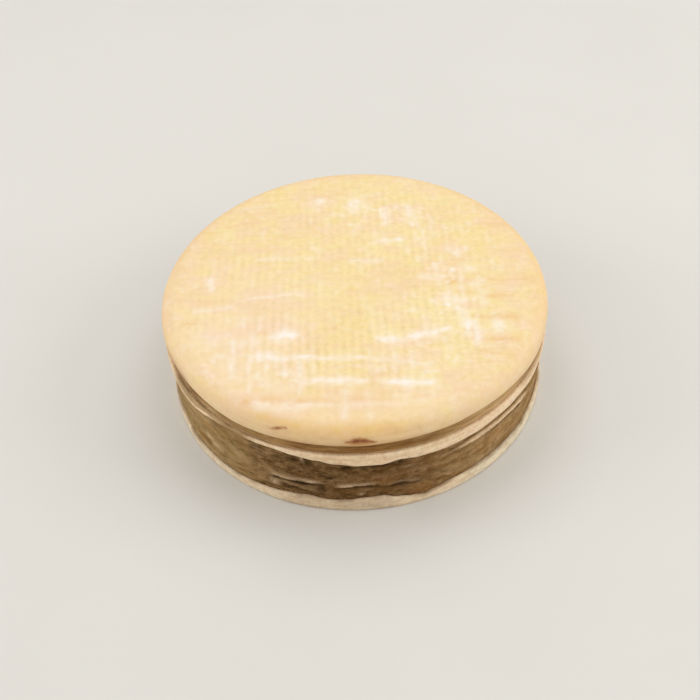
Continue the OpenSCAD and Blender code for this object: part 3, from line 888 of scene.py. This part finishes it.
def swept_bar(path, w, t, seg=3):
    """A flat wire: rectangle w (along Z) by t, rounded, swept along path points in the XY plane at height 0."""
    path = np.asarray(path, float)
    tang = np.gradient(path, axis=0)
    tang /= np.linalg.norm(tang, axis=1)[:, None]
    side = np.stack([tang[:, 1], -tang[:, 0]], -1)
    b = min(w, t) * 0.3
    prof = []
    for cx, cz, a0 in ((t / 2 - b, w / 2 - b, 0), (-t / 2 + b, w / 2 - b, 90), (-t / 2 + b, -w / 2 + b, 180), (t / 2 - b, -w / 2 + b, 270)):
        for a in np.radians(np.linspace(a0, a0 + 90, seg)):
            prof.append((cx + b * math.cos(a), cz + b * math.sin(a)))
    prof = np.array(prof)
    m, n = len(path), len(prof)
    v = np.zeros((m, n, 3))
    v[:, :, :2] = path[:, None, :] + prof[None, :, :1] * side[:, None, :]
    v[:, :, 2] = prof[None, :, 1]
    v = v.reshape(-1, 3)
    i, j = np.meshgrid(np.arange(m - 1), np.arange(n), indexing="ij")
    j1 = (j + 1) % n
    quads = np.stack([i * n + j, i * n + j1, (i + 1) * n + j1, (i + 1) * n + j], -1).reshape(-1, 4)
    v = np.concatenate([v, [np.append(path[0], 0), np.append(path[-1], 0)]])
    k = np.arange(n)
    k1 = (k + 1) % n
    c0, c1 = m * n, m * n + 1
    tris = np.concatenate([np.stack([c0 + 0 * k, k1, k], -1), np.stack([c1 + 0 * k, (m - 1) * n + k, (m - 1) * n + k1], -1)])
    return v, quads, tris


def outward(name, parts, materials, flat=False):
    """Joins closed parts (verts, quads, tris) into one piece, each turned so that its faces look outwards."""
    vs, qs, ts, total = [], [], [], 0
    for v, q, t in parts:
        v, q, t = np.asarray(v, float), np.asarray(q, int).reshape(-1, 4), np.asarray(t, int).reshape(-1, 3)
        tri = np.concatenate([q[:, [0, 1, 2]], q[:, [0, 2, 3]], t])
        c = v.mean(0)
        vol = np.einsum("ij,ij->i", v[tri[:, 0]] - c, np.cross(v[tri[:, 1]] - c, v[tri[:, 2]] - c)).sum()
        if vol < 0:
            q, t = q[:, ::-1], t[:, ::-1]
        vs.append(v)
        qs.append(q + total)
        ts.append(t + total)
        total += len(v)
    return write_mesh(name, np.concatenate(vs), np.concatenate(qs), np.concatenate(ts), materials=materials, flat=flat)


def placed(v, az_deg, r, z):
    """Local x sideways (to larger az), y outwards, z up, put at az, r and z."""
    a = math.radians(az_deg)
    out = np.array([math.sin(a), -math.cos(a), 0.0])
    side = np.array([math.cos(a), math.sin(a), 0.0])
    v = np.asarray(v, float)
    return v[:, :1] * side + (v[:, 1:2] + r) * out + np.array([0, 0, 1.0]) * (v[:, 2:3] + z)


# staples: the crown is on the outside of the veneer, and the two legs come through and turn in
parts = []
STAPLE_AZ = 229.0
for i, zs in enumerate((8.0, 15.0, 22.0)):
    lean = (0.5, -0.35, 0.2)[i]
    half = 4.0
    y_out, y_in = LINER_OUT - 0.42 - LINER_IN, -0.22
    bend = lambda cx, cy, a0, a1, r: [(cx + r * math.cos(a), cy + r * math.sin(a)) for a in np.radians(np.linspace(a0, a1, 5))]
    path = [(-half + 3.0, y_in - 0.06), (-half + 1.6, y_in - 0.10)]
    path += bend(-half + 0.5, y_in + 0.42, 270, 180, 0.5)
    path += bend(-half + 0.35, y_out - 0.35, 180, 90, 0.35)
    path += [(0.0, y_out)]
    path += bend(half - 0.35, y_out - 0.35, 90, 0, 0.35)
    path += bend(half - 0.5, y_in + 0.42, 0, -90, 0.5)
    path += [(half - 1.6, y_in - 0.10), (half - 3.0, y_in - 0.06)]
    path = np.array(path)
    path[:, 1] -= path[:, 0] ** 2 / (2 * LINER_IN)
    v, q, t = swept_bar(path, 0.8, 0.4)
    v[:, 2] += v[:, 0] * math.tan(math.radians(lean * 6))
    parts.append((placed(v, STAPLE_AZ, LINER_IN, zs), q, t))
staples = outward("liner_staples_v", parts, [STAPLE])


def peg(radius, r_in, r_out, seed, sides=9):
    """A whittled peg: a slightly uneven many-sided pin with a domed, cut head."""
    rng = np.random.default_rng(seed)
    ang = np.radians(np.arange(sides) * 360 / sides + rng.uniform(-9, 9, sides))
    rad = radius * (1 + rng.uniform(-0.07, 0.07, sides))
    rows = []
    dome = [(1.0, 0.0), (1.0, r_out - r_in - 0.28), (0.93, r_out - r_in - 0.12), (0.74, r_out - r_in - 0.03), (0.4, r_out - r_in + 0.02)]
    for s, y in dome:
        rows.append(np.stack([rad * s * np.cos(ang), np.full(sides, y) + rng.uniform(-0.02, 0.02, sides) * (y > 0), rad * s * np.sin(ang)], -1))
    v = np.concatenate(rows + [[[0, 0, 0]], [[0, r_out - r_in + 0.03, 0]]])
    m, n = len(dome), sides
    i, j = np.meshgrid(np.arange(m - 1), np.arange(n), indexing="ij")
    j1 = (j + 1) % n
    quads = np.stack([i * n + j, i * n + j1, (i + 1) * n + j1, (i + 1) * n + j], -1).reshape(-1, 4)
    k = np.arange(n)
    k1 = (k + 1) % n
    tris = np.concatenate([np.stack([m * n + 0 * k, k1, k], -1), np.stack([m * n + 1 + 0 * k, (m - 1) * n + k, (m - 1) * n + k1], -1)])
    return v, quads, tris


parts = []
for i, zs in enumerate(STRAP_PEG_Z):
    v, q, t = peg(0.95, LINER_IN, STRAP_OUT + 0.42, 7 + i)
    parts.append((placed(v, STRAP_PEG_AZ, LINER_IN, zs), q, t))
strap_pegs = outward("strap_pegs_v", parts, [PEG], flat=True)
parts = []
for i, (azs, zs) in enumerate(((UP_PEG_AZ, SEAT_Z - 2.2), (LOW_PEG_AZ, 2.6))):
    for j, a in enumerate(azs):
        v, q, t = peg(0.72, HOOP_OUT - 2.6, HOOP_OUT + 0.18, 21 + 2 * i + j)
        parts.append((placed(v, a, HOOP_OUT - 2.6, zs), q, t))
hoop_pegs = outward("hoop_pegs_v", parts, [PEG], flat=True)

# ---------------------------------------------------------------- the lid

# bark skirt
az = columns(760, [SKIRT_END])


def skirt_relief(a, z):
    low = smooth((CAP_Z - 0.05 - z) / 0.5)  # plain where it is let into the cap
    r = 0.09 * round_noise(a, z, 34, 1.1, 201, 4, 0.6) + 0.07 * (1 - 2 * np.abs(round_noise(a, z, 60, 1.7, 203, 3))) + 0.05 * round_noise(a, z, 12, 9, 205, 2)
    return low * (r - 0.02 + lap_step(a, SKIRT_END, 0.3, 5.0)) - 0.03 * (1 - low)


def skirt_values(a, z, face, r):
    # a paler lower part of the skirt at the sides: partly paler bark, partly painted light over the shade where the
    # skirt meets the hoop
    lit_pale_foot = smooth((27.9 - z) / 1.8) * along(a, [(-62, 0.35), (-54, 0.35), (-47, 0.5), (-38, 0.15), (-24, 0.0), (22, 0.0), (32, 0.6), (42, 1.1), (48, 0.95), (55, 0.15), (66, 0.15), (80, 0.6), (120, 0.4), (180, 0.6), (240, 0.3), (292, 0.6)])
    lit_pale_foot = np.maximum(lit_pale_foot, smooth((SEAT_Z + 0.75 - z) / 0.5) * along(a, [(48, 0.7), (56, 0.1), (66, 0.1), (76, 0.7), (292, 0.7)]))
    lit_pale_foot = np.maximum(lit_pale_foot, smooth((z - 26.9) / 1.5) * along(a, [(47, 0.0), (54, 0.9), (58, 1.2), (66, 1.2), (76, 0.0), (292, 0.0)]))
    # browner bark, darkest at the middle of the front, where it is partly painted shade under the cap's edge
    brown_and_shade = along(a, [(-62, 1.1), (-56, 1.0), (-50, 0.75), (-44, 0.15), (-34, 0.0), (-26, 0.3), (-18, 0.62), (-6, 0.85), (-1, 1.0), (8, 1.0), (16, 0.9), (26, 0.55), (36, 0.15), (60, 0.2), (110, 0.6), (180, 0.3), (240, 0.7), (290, 0.35)])
    brown_and_shade = brown_and_shade + 0.35 * np.exp(-((turn(a, -34) / 9) ** 2)) * smooth((28.2 - z) / 1.2)
    return {
        "inside": (face < 0.3).astype(float),
        "dark": np.clip(brown_and_shade + 0.45 * round_noise(a, z, 44, 2.2, 211, 3) - 0.25 * lit_pale_foot, 0, 1),
        "foot": np.clip(lit_pale_foot * (0.7 + 0.5 * round_noise(a, z, 60, 2, 213, 2)), 0, 1),
    }


skirt = bent_strip(
    "lid_skirt_v", az, SKIRT_IN, SKIRT_OUT, SEAT_Z + 0.01 + 0.06 * np.abs(round_noise(az, 0, 70, 1, 207, 3)), SKIRT_TOP - 0.05 + 0 * az,
    40, 14, 0.1, skirt_relief, lambda a, z: 0.03 * round_noise(a, z, 30, 2.0, 209, 3), skirt_values, [SKIRT], 0.2,
)

# the cap
THREAD = 2.57  # pitch of the woven imprint's lines, which run front to back
CROSS = 2.1  # pitch across them

# Chalky streaks: x, y at each end, width, strength.
STREAKS = [
    (1.7, 41.5, 2.0, 35.5, 1.5, 0.95), (-9.8, 42.3, -9.4, 39.8, 1.6, 0.6), (11.5, 36.0, 11.8, 28.5, 0.7, 0.6), (13.6, 35.0, 13.4, 30.0, 0.5, 0.4),
    (19.4, 36.5, 20.2, 27.0, 0.6, 0.6), (21.8, 34.0, 21.9, 25.5, 0.5, 0.5), (7.8, 19.3, 16.0, 19.7, 0.7, 0.75), (22.0, 19.4, 25.0, 19.8, 0.6, 0.5),
    (17.0, 30.5, 23.0, 30.2, 0.4, 0.35), (23.6, 23.5, 23.8, 12.0, 0.5, 0.45), (31.0, 14.4, 33.4, 12.2, 1.1, 0.65), (28.0, 9.0, 28.4, 4.0, 0.5, 0.4),
    (34.2, 5.2, 37.4, 4.2, 0.9, 0.65), (22.0, 1.6, 28.2, 0.8, 0.9, 0.75), (26.4, 4.5, 26.0, -3.5, 0.6, 0.45), (35.0, -3.0, 38.5, -3.6, 0.9, 0.7),
    (33.0, 1.0, 33.4, -8.0, 0.5, 0.5), (38.8, -4.5, 39.2, -11.5, 0.5, 0.5), (28.0, -9.4, 33.0, -10.2, 1.0, 0.7), (29.5, -5.0, 29.9, -13.5, 0.5, 0.45),
    (32.4, -14.5, 32.9, -25.0, 0.8, 0.95), (34.8, -20.5, 35.6, -29.0, 0.6, 0.7), (42.0, -21.5, 42.6, -23.6, 1.3, 0.75),
    (-24.0, -21.6, -18.4, -21.9, 1.1, 1.0), (-30.0, -21.0, -29.4, -24.5, 0.9, 0.45), (7.0, -24.6, 14.5, -25.4, 0.7, 0.75), (14.5, -25.2, 20.0, -23.6, 0.7, 0.8),
    (20.0, -23.8, 26.6, -22.4, 0.8, 0.8), (-28.7, -29.8, -22.0, -30.6, 1.1, 0.9), (-22.0, -30.6, 1.0, -32.0, 0.7, 0.85), (1.0, -32.0, 19.5, -35.6, 0.6, 0.55),
    (4.0, -29.0, 4.4, -38.0, 0.5, 0.4), (-17.6, -40.1, 2.0, -41.0, 0.8, 0.85), (7.6, -41.8, 14.2, -42.6, 1.1, 1.0), (14.2, -42.6, 21.0, -43.0, 0.8, 0.8),
    (-16.8, -33.5, -16.4, -45.0, 0.7, 0.75), (-19.2, -36.0, -19.0, -42.0, 0.5, 0.45), (-12.8, -34.5, -12.6, -39.5, 0.45, 0.4), (-36.1, -23.5, -35.8, -37.0, 0.6, 0.5),
    (-44.4, 4.6, -44.0, 0.4, 0.8, 0.6), (-46.0, -20.0, -38.0, -20.6, 0.6, 0.4), (-40.0, -28.8, -30.0, -29.4, 0.5, 0.4), (-30.0, 13.6, -12.0, 12.6, 0.5, 0.35),
    (-34.0, -5.0, -16.0, -3.6, 0.5, 0.4), (-48.0, -9.4, -38.0, -8.4, 0.5, 0.4), (1.0, 10.6, 9.5, 10.2, 0.6, 0.4), (-12.5, 17.5, -9.0, 15.5, 0.8, 0.3),
    (-29.0, -48.6, -14.0, -49.4, 1.1, 0.7), (-14.0, -49.4, 4.0, -50.1, 0.8, 0.35), (4.0, -50.2, 17.0, -50.0, 0.7, 0.32), (-4.0, -45.0, -3.8, -54.0, 0.7, 0.45), (2.6, -46.0, 2.8, -54.5, 0.6, 0.4),
    (-27.5, -38.0, -24.0, -42.5, 1.2, 0.35), (-31.5, -33.0, -31.0, -43.0, 0.5, 0.4), (10.5, -31.5, 10.8, -37.5, 0.45, 0.35), (16.2, -31.0, 16.0, -36.5, 0.45, 0.35),
    (26.5, 30.0, 26.9, 20.5, 0.4, 0.35), (-36.0, 40.0, -24.0, 42.0, 0.4, 0.25), (30.5, 24.5, 36.0, 23.2, 0.5, 0.3),
]
# Softer chalky patches: x, y, half width and half depth, strength.
BLOTCHES = [
    (25, 1.2, 4.0, 1.4, 0.4), (30.5, -9.8, 3.6, 2.0, 0.45), (35.6, 4.6, 2.6, 1.6, 0.45), (31.8, 13.2, 2.6, 1.9, 0.4), (36.6, -3.3, 3.0, 1.5, 0.4),
    (38.8, -8.0, 1.9, 3.4, 0.4), (42.3, -22.5, 1.8, 2.0, 0.5), (20.4, 32, 1.9, 5.0, 0.35), (12.5, 33, 1.7, 4.0, 0.35), (1.8, 38.8, 1.8, 4.4, 0.45),
    (-9.6, 41, 1.6, 1.9, 0.3), (30, -14, 4.0, 2.4, 0.25), (-34, -24, 7.0, 3.0, 0.22), (-38, -33, 5.0, 3.0, 0.15), (-35, -39.5, 5.5, 3.6, 0.22), (-20, -43, 6.0, 2.0, 0.25),
    (-44, -20, 3.0, 6.0, 0.2), (5, -33, 4.0, 3.0, 0.22), (-16.5, -38, 2.2, 4.4, 0.35), (-21.2, -21.7, 3.6, 1.3, 0.4), (24, 21, 2.6, 5.0, 0.25),
]
# Ochre creases: x, y at each end, width, strength.
CREASES = [
    (30.0, -1.6, 55.0, -2.6, 0.45, 0.75), (40.0, -9.0, 48.0, -9.4, 0.5, 0.7), (37.5, -18.2, 47.5, -18.8, 0.6, 0.75), (37.5, -27.2, 47.0, -27.8, 0.7, 0.75),
    (28.0, 1.0, 31.5, 0.2, 0.4, 0.5), (36.0, -32.4, 46.0, -34.0, 0.4, 0.45), (-32.0, -46.6, -12.0, -47.8, 0.7, 0.8), (-12.0, -47.8, 6.0, -48.8, 0.6, 0.4), (33.0, -6.6, 36.0, -7.2, 0.5, 0.5),
    (44.0, 26.0, 50.0, 25.0, 0.5, 0.3), (-54.0, -4.0, -44.0, -5.0, 0.5, 0.3), (16.0, -48.6, 30.0, -46.0, 0.5, 0.35), (-40.0, 31.0, -26.0, 33.5, 0.4, 0.3),
    (20.0, 8.0, 28.0, 7.2, 0.3, 0.3), (-52.0, -14.0, -45.0, -15.0, 0.4, 0.3),
]


def near_lines(x, y, lines, seed, broken, spread):
    """How close each point is to the lines, from 0 to 1: soft, uneven in width and broken along their length."""
    out = np.zeros_like(x)
    wx = x + 0.9 * fbm(x / 5, y / 5, seed, 3)
    wy = y + 0.8 * fbm(x / 5, y / 5, seed + 1, 3)
    for i, (x0, y0, x1, y1, w, s) in enumerate(lines):
        near = (np.abs(x - (x0 + x1) / 2) < abs(x1 - x0) / 2 + 6) & (np.abs(y - (y0 + y1) / 2) < abs(y1 - y0) / 2 + 6)
        if not near.any():
            continue
        px, py = wx[near], wy[near]
        dx, dy = x1 - x0, y1 - y0
        ln = math.hypot(dx, dy)
        t = ((px - x0) * dx + (py - y0) * dy) / ln**2
        off = ((px - x0) * dy - (py - y0) * dx) / ln
        past = np.clip(np.maximum(-t, t - 1), 0, 9) * ln
        width = spread * w * (1 + 0.5 * noise(t * ln / 3.0, 0.5 + 0 * t, seed + 50 + i))
        g = np.exp(-np.abs(off / width) ** 1.6 - (past / 1.5) ** 2)
        gaps = smooth(0.72 + 0.8 * fbm(t * ln / 3.2, off / 1.6, seed + 90 + i, 2))
        out[near] = np.maximum(out[near], s * g * ((1 - broken) + broken * gaps))
    return out


def weave(x, y):
    """The cloth's imprint, from 0 in the grooves up: lines front to back, crossed by a weaker set. Also the lines alone and how strong it is."""
    bx = x + 0.35 * fbm(x / 20, y / 20, 301, 2) + 0.1 * noise(x / 3, y / 3, 305)
    by = y + 0.075 * x + 0.5 * fbm(x / 16, y / 16, 303, 2)
    a = 0.5 + 0.5 * np.cos(2 * math.pi * bx / THREAD)
    b = 0.5 + 0.5 * np.cos(2 * math.pi * by / CROSS)
    strength = 0.34 + 0.55 * fbm(x / 11, y / 11, 307, 3) + 0.48 * np.exp(-(((x + 4) / 34) ** 2) - ((y + 28) / 20) ** 2) - 0.08 * smooth((x - 22) / 15)
    strength = np.clip(strength, 0.03, 2) * (0.3 + 0.7 * smooth((55 - np.hypot(x, y)) / 12))
    return (0.92 * a + 0.08 * b) * strength, a, strength


SPOTS = [
    (-22.4, 33.3, 1.7, 0.3, 0.66, 0.3), (-20.4, 33.7, 0.6, 0.24, 0.52, 0.3), (-1.2, 31.85, 1.35, 0.74, 1.0, 0.1), (0.8, 31.8, 1.3, 0.64, 0.95, -0.1),
    (-3.2, 31.6, 0.9, 0.34, 0.75, 0.1), (2.5, 31.4, 1.2, 0.4, 0.8, -0.15),
]


def cap_values(v, tags):
    x, y, z = v[:, 0], v[:, 1], v[:, 2]
    r = np.hypot(x, y)
    az_v = np.degrees(np.arctan2(x, -y))
    face = smooth((z - (TOP_Z - 1.2)) / 0.8)
    outer = smooth((z - CAP_Z + 0.5) / 0.1) * (tags == 0)
    wv, a, strength = weave(x, y)
    bloom = near_lines(x, y, STREAKS, 401, 0.6, 1.8)
    # a light dusting caught on the raised threads, thicker in some places
    where = 0.6 * np.exp(-(((x - 30) / 11) ** 2) - ((y + 2) / 24) ** 2) + 0.36 * np.exp(-(((x + 33) / 16) ** 2) - ((y + 30) / 14) ** 2)
    where = where + 0.14 + 0.28 * np.exp(-((x / 34) ** 2) - ((y + 37) / 10) ** 2) + 0.42 * np.exp(-(((x - 8) / 20) ** 2) - ((y - 34) / 9) ** 2)
    speck = smooth(fbm(x / 2.6, y / 3.4, 411, 3) * 2.2 - 0.35) * (0.75 + 0.25 * a)
    speck = speck + 0.7 * smooth(fbm(x / 5.5, y / 1.7, 413, 3) * 2.6 - 0.8)
    soft = np.zeros_like(x)
    for cx, cy, rx, ry, s in BLOTCHES:
        soft = soft + s * np.exp(-(((x - cx) / rx) ** 2) - ((y - cy) / ry) ** 2)
    soft = soft * np.clip(0.8 + 0.9 * fbm(x / 2.4, y / 2.4, 417, 3), 0, 1.3)
    bloom = np.maximum(1.08 * bloom * (0.9 + 0.12 * a) * (1 - 0.16 * smooth((x - 18) / 6) * smooth((y + 20) / 6)), np.maximum(where * speck, soft))
    pink = 0.5 * np.exp(-(((x + 34) / 20) ** 2) - ((y + 26) / 26) ** 2) + 0.45 * np.exp(-((x / 40) ** 2) - ((y + 50) / 6) ** 2)
    pink = pink + 0.45 * smooth(fbm(x / 7, y / 4.5, 421, 3) * 1.9 - 0.1)
    ochre = 0.62 * near_lines(x, y, CREASES, 431, 0.5, 1.9) + 0.16 * smooth(fbm(x / 14, (y + 0.08 * x) / 1.6, 433, 3) * 2 - 0.9)
    edge = smooth((r - 50) / 9)
    d_lip = z - along(az_v, LIP_EDGE)
    # how strongly the shoulder and lower edge are darkened: most at the front, where it is painted shade
    front = along(az_v, [(-60, 0.25), (-42, 0.2), (-28, 0.55), (-18, 0.8), (-10, 0.85), (0, 0.85), (8, 0.92), (20, 0.5), (34, 0.2), (60, 0.25), (180, 0.7), (290, 0.3)])
    # the shoulder's tan colour, partly painted shade towards the lower edge at the front
    rim = smooth((TOP_Z - 0.4 - z) / 3.6) * (0.04 + 0.68 * front) * (0.85 + 0.45 * round_noise(az_v, z, 44, 2.0, 457, 4))
    warmed = along(az_v, [(-60, 0.1), (-45, 0.25), (-38, 0.3), (-31, 0.4), (-26, 0.7), (-20, 0.85), (-12, 0.8), (-5, 0.85), (0, 1.0), (5, 0.85), (10, 0.9), (15, 0.35), (19, 0.0), (30, 0.05), (45, 0.15), (60, 0.1), (80, 0.4), (120, 0.6), (180, 0.5), (240, 0.6), (275, 0.2), (296, 0.1)])
    amber = warmed * np.where(z > 34.75, np.exp(-(((z - 34.75) / 1.1) ** 2)), np.exp(-(((z - 34.75) / 1.65) ** 2))) * (0.95 + 0.3 * round_noise(az_v, z, 60, 2.5, 461, 3))
    # painted shade along the cap's lower edge, widest and darkest at the front and the far left
    lip = np.exp(-((np.clip(d_lip, 0, 9) / (0.7 + 0.4 * front)) ** 2)) * (0.06 + 0.36 * front) * (0.8 + 0.5 * round_noise(az_v, z, 60, 2, 459, 2))
    far_left = smooth((-51 - turn(az_v, 0)) / 8) * smooth((turn(az_v, 0) + 76) / 9)
    lip = np.maximum(lip, 0.78 * far_left * np.exp(-((np.clip(d_lip, 0, 9) / 1.7) ** 2)))
    spot = np.zeros_like(x)
    for sa, sz, wa, wz, s, slope in SPOTS:
        d = turn(az_v, sa) * CAP_OUT * math.pi / 180
        wob = 0.5 * fbm(d / 0.9 + 40, z / 0.5, 441, 2)
        spot = np.maximum(spot, s * np.exp(-np.abs((d + wob) / wa) ** 2.6 - np.abs((z - sz - slope * d + wob * 0.3) / wz) ** 2))
    sides = 1 - face
    return {
        "bloom": outer * face * np.clip(bloom, 0, 1) + outer * sides * 0.22 * smooth(fbm(az_v / 2.2, z / 1.2, 451, 3) * 2 - 0.5),
        "pink": outer * np.clip(pink, 0, 0.8) * (0.3 + 0.7 * face),
        "ochre": outer * np.clip(ochre * face, 0, 1),
        "thread": outer * face * np.clip(0.5 + 0.6 * strength - 1.2 * wv, 0, 1),
        "warm_edge": edge,
        "rim": outer * np.clip(rim, 0, 1),
        "amber": outer * np.clip(amber, 0, 1),
        "lip": outer * np.clip(lip, 0, 1),
        "spot": outer * np.clip(spot * 1.2, 0, 1),
        "spot_pale": outer * np.clip(smooth(spot * 3.2) * 0.75 + 0.85 * np.exp(-((turn(az_v, -0.3) / 3.4) ** 2) - ((z - 30.9) / 1.4) ** 2), 0, 0.85),
    }


def cap_top(x, y):
    """Height of the lid's face above its flat plane: slow swells, the imprint and the chalk."""
    wv = weave(x, y)[0]
    r = np.hypot(x, y)
    level = 0.12 * fbm(x / 26, y / 26, 501, 2) + 0.05 * fbm(x / 9, y / 5, 503, 3) - 0.10
    wrinkle = 0.035 * fbm(x / 18, (y + 0.09 * x) / 2.1, 505, 2)
    chalk = 0.05 * near_lines(x, y, STREAKS, 401, 0.6, 1.8)
    crease = -0.06 * near_lines(x, y, CREASES, 431, 0.5, 1.9)
    return level + (0.055 * wv + wrinkle) * smooth((57 - r) / 4) + chalk + crease


N_MAX = 768
FLAT_R = CAP_OUT - SHOULDER
rings = [(1, [[0, 0, TOP_Z + float(cap_top(np.array([0.0]), np.array([0.0]))[0])]], 0)]
for r in np.concatenate([[0.45, 0.95], np.arange(1.45, FLAT_R - 0.3, 0.5)]):
    rings.append(disc(r, count_at(r, N_MAX, 0.55), TOP_Z, cap_top, 0))
fine_az = np.arange(N_MAX) * 360.0 / N_MAX


def cap_wobble(a):
    """The turned rim is a little out of round."""
    return 0.10 * round_noise(a, 0, 7, 1, 511, 2) + 0.03 * round_noise(a, 0, 60, 1, 513, 2) - 0.08


def side_relief(a, z):
    return 0.035 * round_noise(a, z, 90, 1.3, 521, 3) + 0.03 * round_noise(a, z, 30, 3.5, 523, 2)


for t in np.linspace(0, 90, 19):
    n = SHOULDER * math.sin(math.radians(t)) + FLAT_R, SHOULDER * math.cos(math.radians(t)) + TOP_Z - SHOULDER
    p = polar(fine_az, n[0] + (t / 90) * cap_wobble(fine_az), np.full(N_MAX, n[1]))
    fade = 1 - t / 90
    p[:, 2] += cap_top(p[:, 0], p[:, 1]) * fade**2
    d = side_relief(fine_az, n[1]) * (t / 90)
    p = p + polar(fine_az, d * math.sin(math.radians(t)), d * math.cos(math.radians(t)))
    rings.append((N_MAX, p, 0))
low_r = CAP_OUT + cap_wobble(fine_az)
lip_z = along(fine_az, LIP_EDGE) + 0.07 * round_noise(fine_az, 0, 50, 1, 527, 3)
for k in (0.35, 0.7, 1.0):
    z = (TOP_Z - SHOULDER) * (1 - k) + (lip_z + 0.35) * k
    rings.append((N_MAX, polar(fine_az, low_r + side_relief(fine_az, z), z), 0))
for a in (30, 60, 90):
    a = math.radians(a)
    rings.append((N_MAX, polar(fine_az, low_r + side_relief(fine_az, lip_z) - 0.35 * (1 - math.cos(a)), lip_z + 0.35 * (1 - math.sin(a))), 0))
# underneath: the rim's lower face, the groove that holds the skirt, and the inner face
for r, z in (
    (SKIRT_OUT + 0.14, lip_z), (SKIRT_OUT + 0.02, lip_z + 0.12), (SKIRT_OUT + 0.02, CAP_Z + 1.0), (SKIRT_OUT + 0.02, SKIRT_TOP),
    (SKIRT_IN - 0.02, SKIRT_TOP), (SKIRT_IN - 0.02, CAP_Z + 1.0), (SKIRT_IN - 0.02, LID_IN_Z + 0.15), (SKIRT_IN - 0.25, LID_IN_Z),
):
    rings.append((N_MAX, polar(fine_az, np.full(N_MAX, r), z + 0 * fine_az), 1))


def turned_face(r, a):
    """Fine grooves that the turning tool left."""
    return 0.03 * np.sin(r / 1.15 * 2 * math.pi + 0.6 * np.sin(r / 7)) * (0.6 + 0.4 * np.sin(r / 4.1)) + 0.035


n_now = N_MAX
for r in np.concatenate([np.arange(SKIRT_IN - 0.6, 1.4, -0.42), [0.95, 0.5]]):
    want = count_at(r, N_MAX // 2, 0.95)
    n_now = max(want, n_now // 2)
    a = np.arange(n_now) * 360.0 / n_now
    rings.append((n_now, polar(a, np.full(n_now, r), LID_IN_Z + turned_face(r, a) + 0 * a), 1))
rings.append((1, [[0, 0, LID_IN_Z + 0.035]], 1))
cap = ring_stack("lid_cap_v", rings, cap_values, [LIMED, TURNED])

# ---------------------------------------------------------------- what rides on what

for piece, body, node, slot in (
    (strap, "base", "bark_strap", "dark_bark"),
    (upper, "base", "upper_hoop", "pale_bast"),
    (lower, "base", "lower_hoop", "pale_bast"),
    (liner, "base", "liner_hoop", "veneer"),
    (floor_piece, "base", "floor_board", "floor_wood"),
    (staples, "base", "liner_staples", "staple_steel"),
    (strap_pegs, "base", "strap_pegs", "peg_wood"),
    (hoop_pegs, "base", "hoop_pegs", "peg_wood"),
    (skirt, "lid", "lid_skirt", "brown_bark"),
    (cap, "lid", "lid_cap", "limed_wood"),
):
    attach(piece, body)
    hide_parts(node)

for node in ("floor_brads", "lid_brads"):
    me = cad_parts[node].data
    me.materials.clear()
    me.materials.append(BRAD)

# ---------------------------------------------------------------- floor, light and camera


def stage_floor():
    n = 64
    a = np.radians(np.arange(n) * 360 / n)
    v = np.concatenate([[[0, 0, 0]], np.stack([2600 * np.cos(a), 2600 * np.sin(a), 0 * a], -1)])
    k = np.arange(n)
    tris = np.stack([0 * k, 1 + k, 1 + (k + 1) % n], -1)
    m = Mat("stage_floor", 0.8, 0.2)
    soft = m.noise(m.coord, 18, 2, 0.5)
    m.colour(m.mix(soft, (0.66, 0.645, 0.605, 1), (0.69, 0.675, 0.635, 1)))
    ob = write_mesh("stage_floor", v, np.zeros((0, 4), int), tris, materials=[m.m])


stage_floor()


def lamp(name, at, aim, size, watts, colour):
    data = bpy.data.lights.new(name, "AREA")
    data.shape = "RECTANGLE"
    data.size, data.size_y = size
    data.energy = watts
    data.color = colour
    ob = bpy.data.objects.new(name, data)
    scene.collection.objects.link(ob)
    ob.location = at
    ob.rotation_mode = "QUATERNION"
    ob.rotation_quaternion = (Vector(aim) - Vector(at)).to_track_quat("-Z", "Y")
    return ob


lamp("soft_top", (0.05, 0.25, 0.85), (0, 0, 0), (0.9, 0.9), 3.4, (1.0, 0.99, 0.985))
lamp("soft_left", (-0.85, -0.05, 0.42), (0, 0, 0.02), (0.6, 0.6), 2.5, (1.0, 0.985, 0.97))
lamp("soft_right", (0.85, -0.1, 0.42), (0, 0, 0.02), (0.6, 0.6), 3.0, (1.0, 0.99, 0.975))
lamp("soft_front", (0.0, -0.9, 0.30), (0, 0, 0.02), (0.8, 0.5), 0.4, (1.0, 0.99, 0.97))

world = bpy.data.worlds.new("soft_world")
scene.world = world
world.use_nodes = True
background = next(n for n in world.node_tree.nodes if n.type == "BACKGROUND")
background.inputs["Color"].default_value = (1.0, 0.99, 0.97, 1)
background.inputs["Strength"].default_value = 0.6
scene.view_settings.view_transform = "Standard"
scene.view_settings.look = "None"
scene.view_settings.exposure = 0.0
scene.view_settings.gamma = 1.0

elevation, roll, distance = math.radians(44.59), math.radians(-3.37), 0.330
aim = Vector((-0.00216, 0.0, 0.0063))
eye = Vector((0, -math.cos(elevation), math.sin(elevation))) * distance + Vector((0, 0, 0.015))
back = (eye - aim).normalized()
right = Vector((0, 0, 1)).cross(back).normalized()
up = back.cross(right)
right, up = math.cos(roll) * right + math.sin(roll) * up, -math.sin(roll) * right + math.cos(roll) * up
cam_data = bpy.data.cameras.new("camera")
cam_data.sensor_width = 36.0
cam_data.lens = 52.33
cam_data.clip_start, cam_data.clip_end = 0.01, 20
cam = bpy.data.objects.new("camera", cam_data)
scene.collection.objects.link(cam)
cam.matrix_world = Matrix(
    ((right.x, up.x, back.x, eye.x), (right.y, up.y, back.y, eye.y), (right.z, up.z, back.z, eye.z), (0, 0, 0, 1))
)
scene.camera = cam
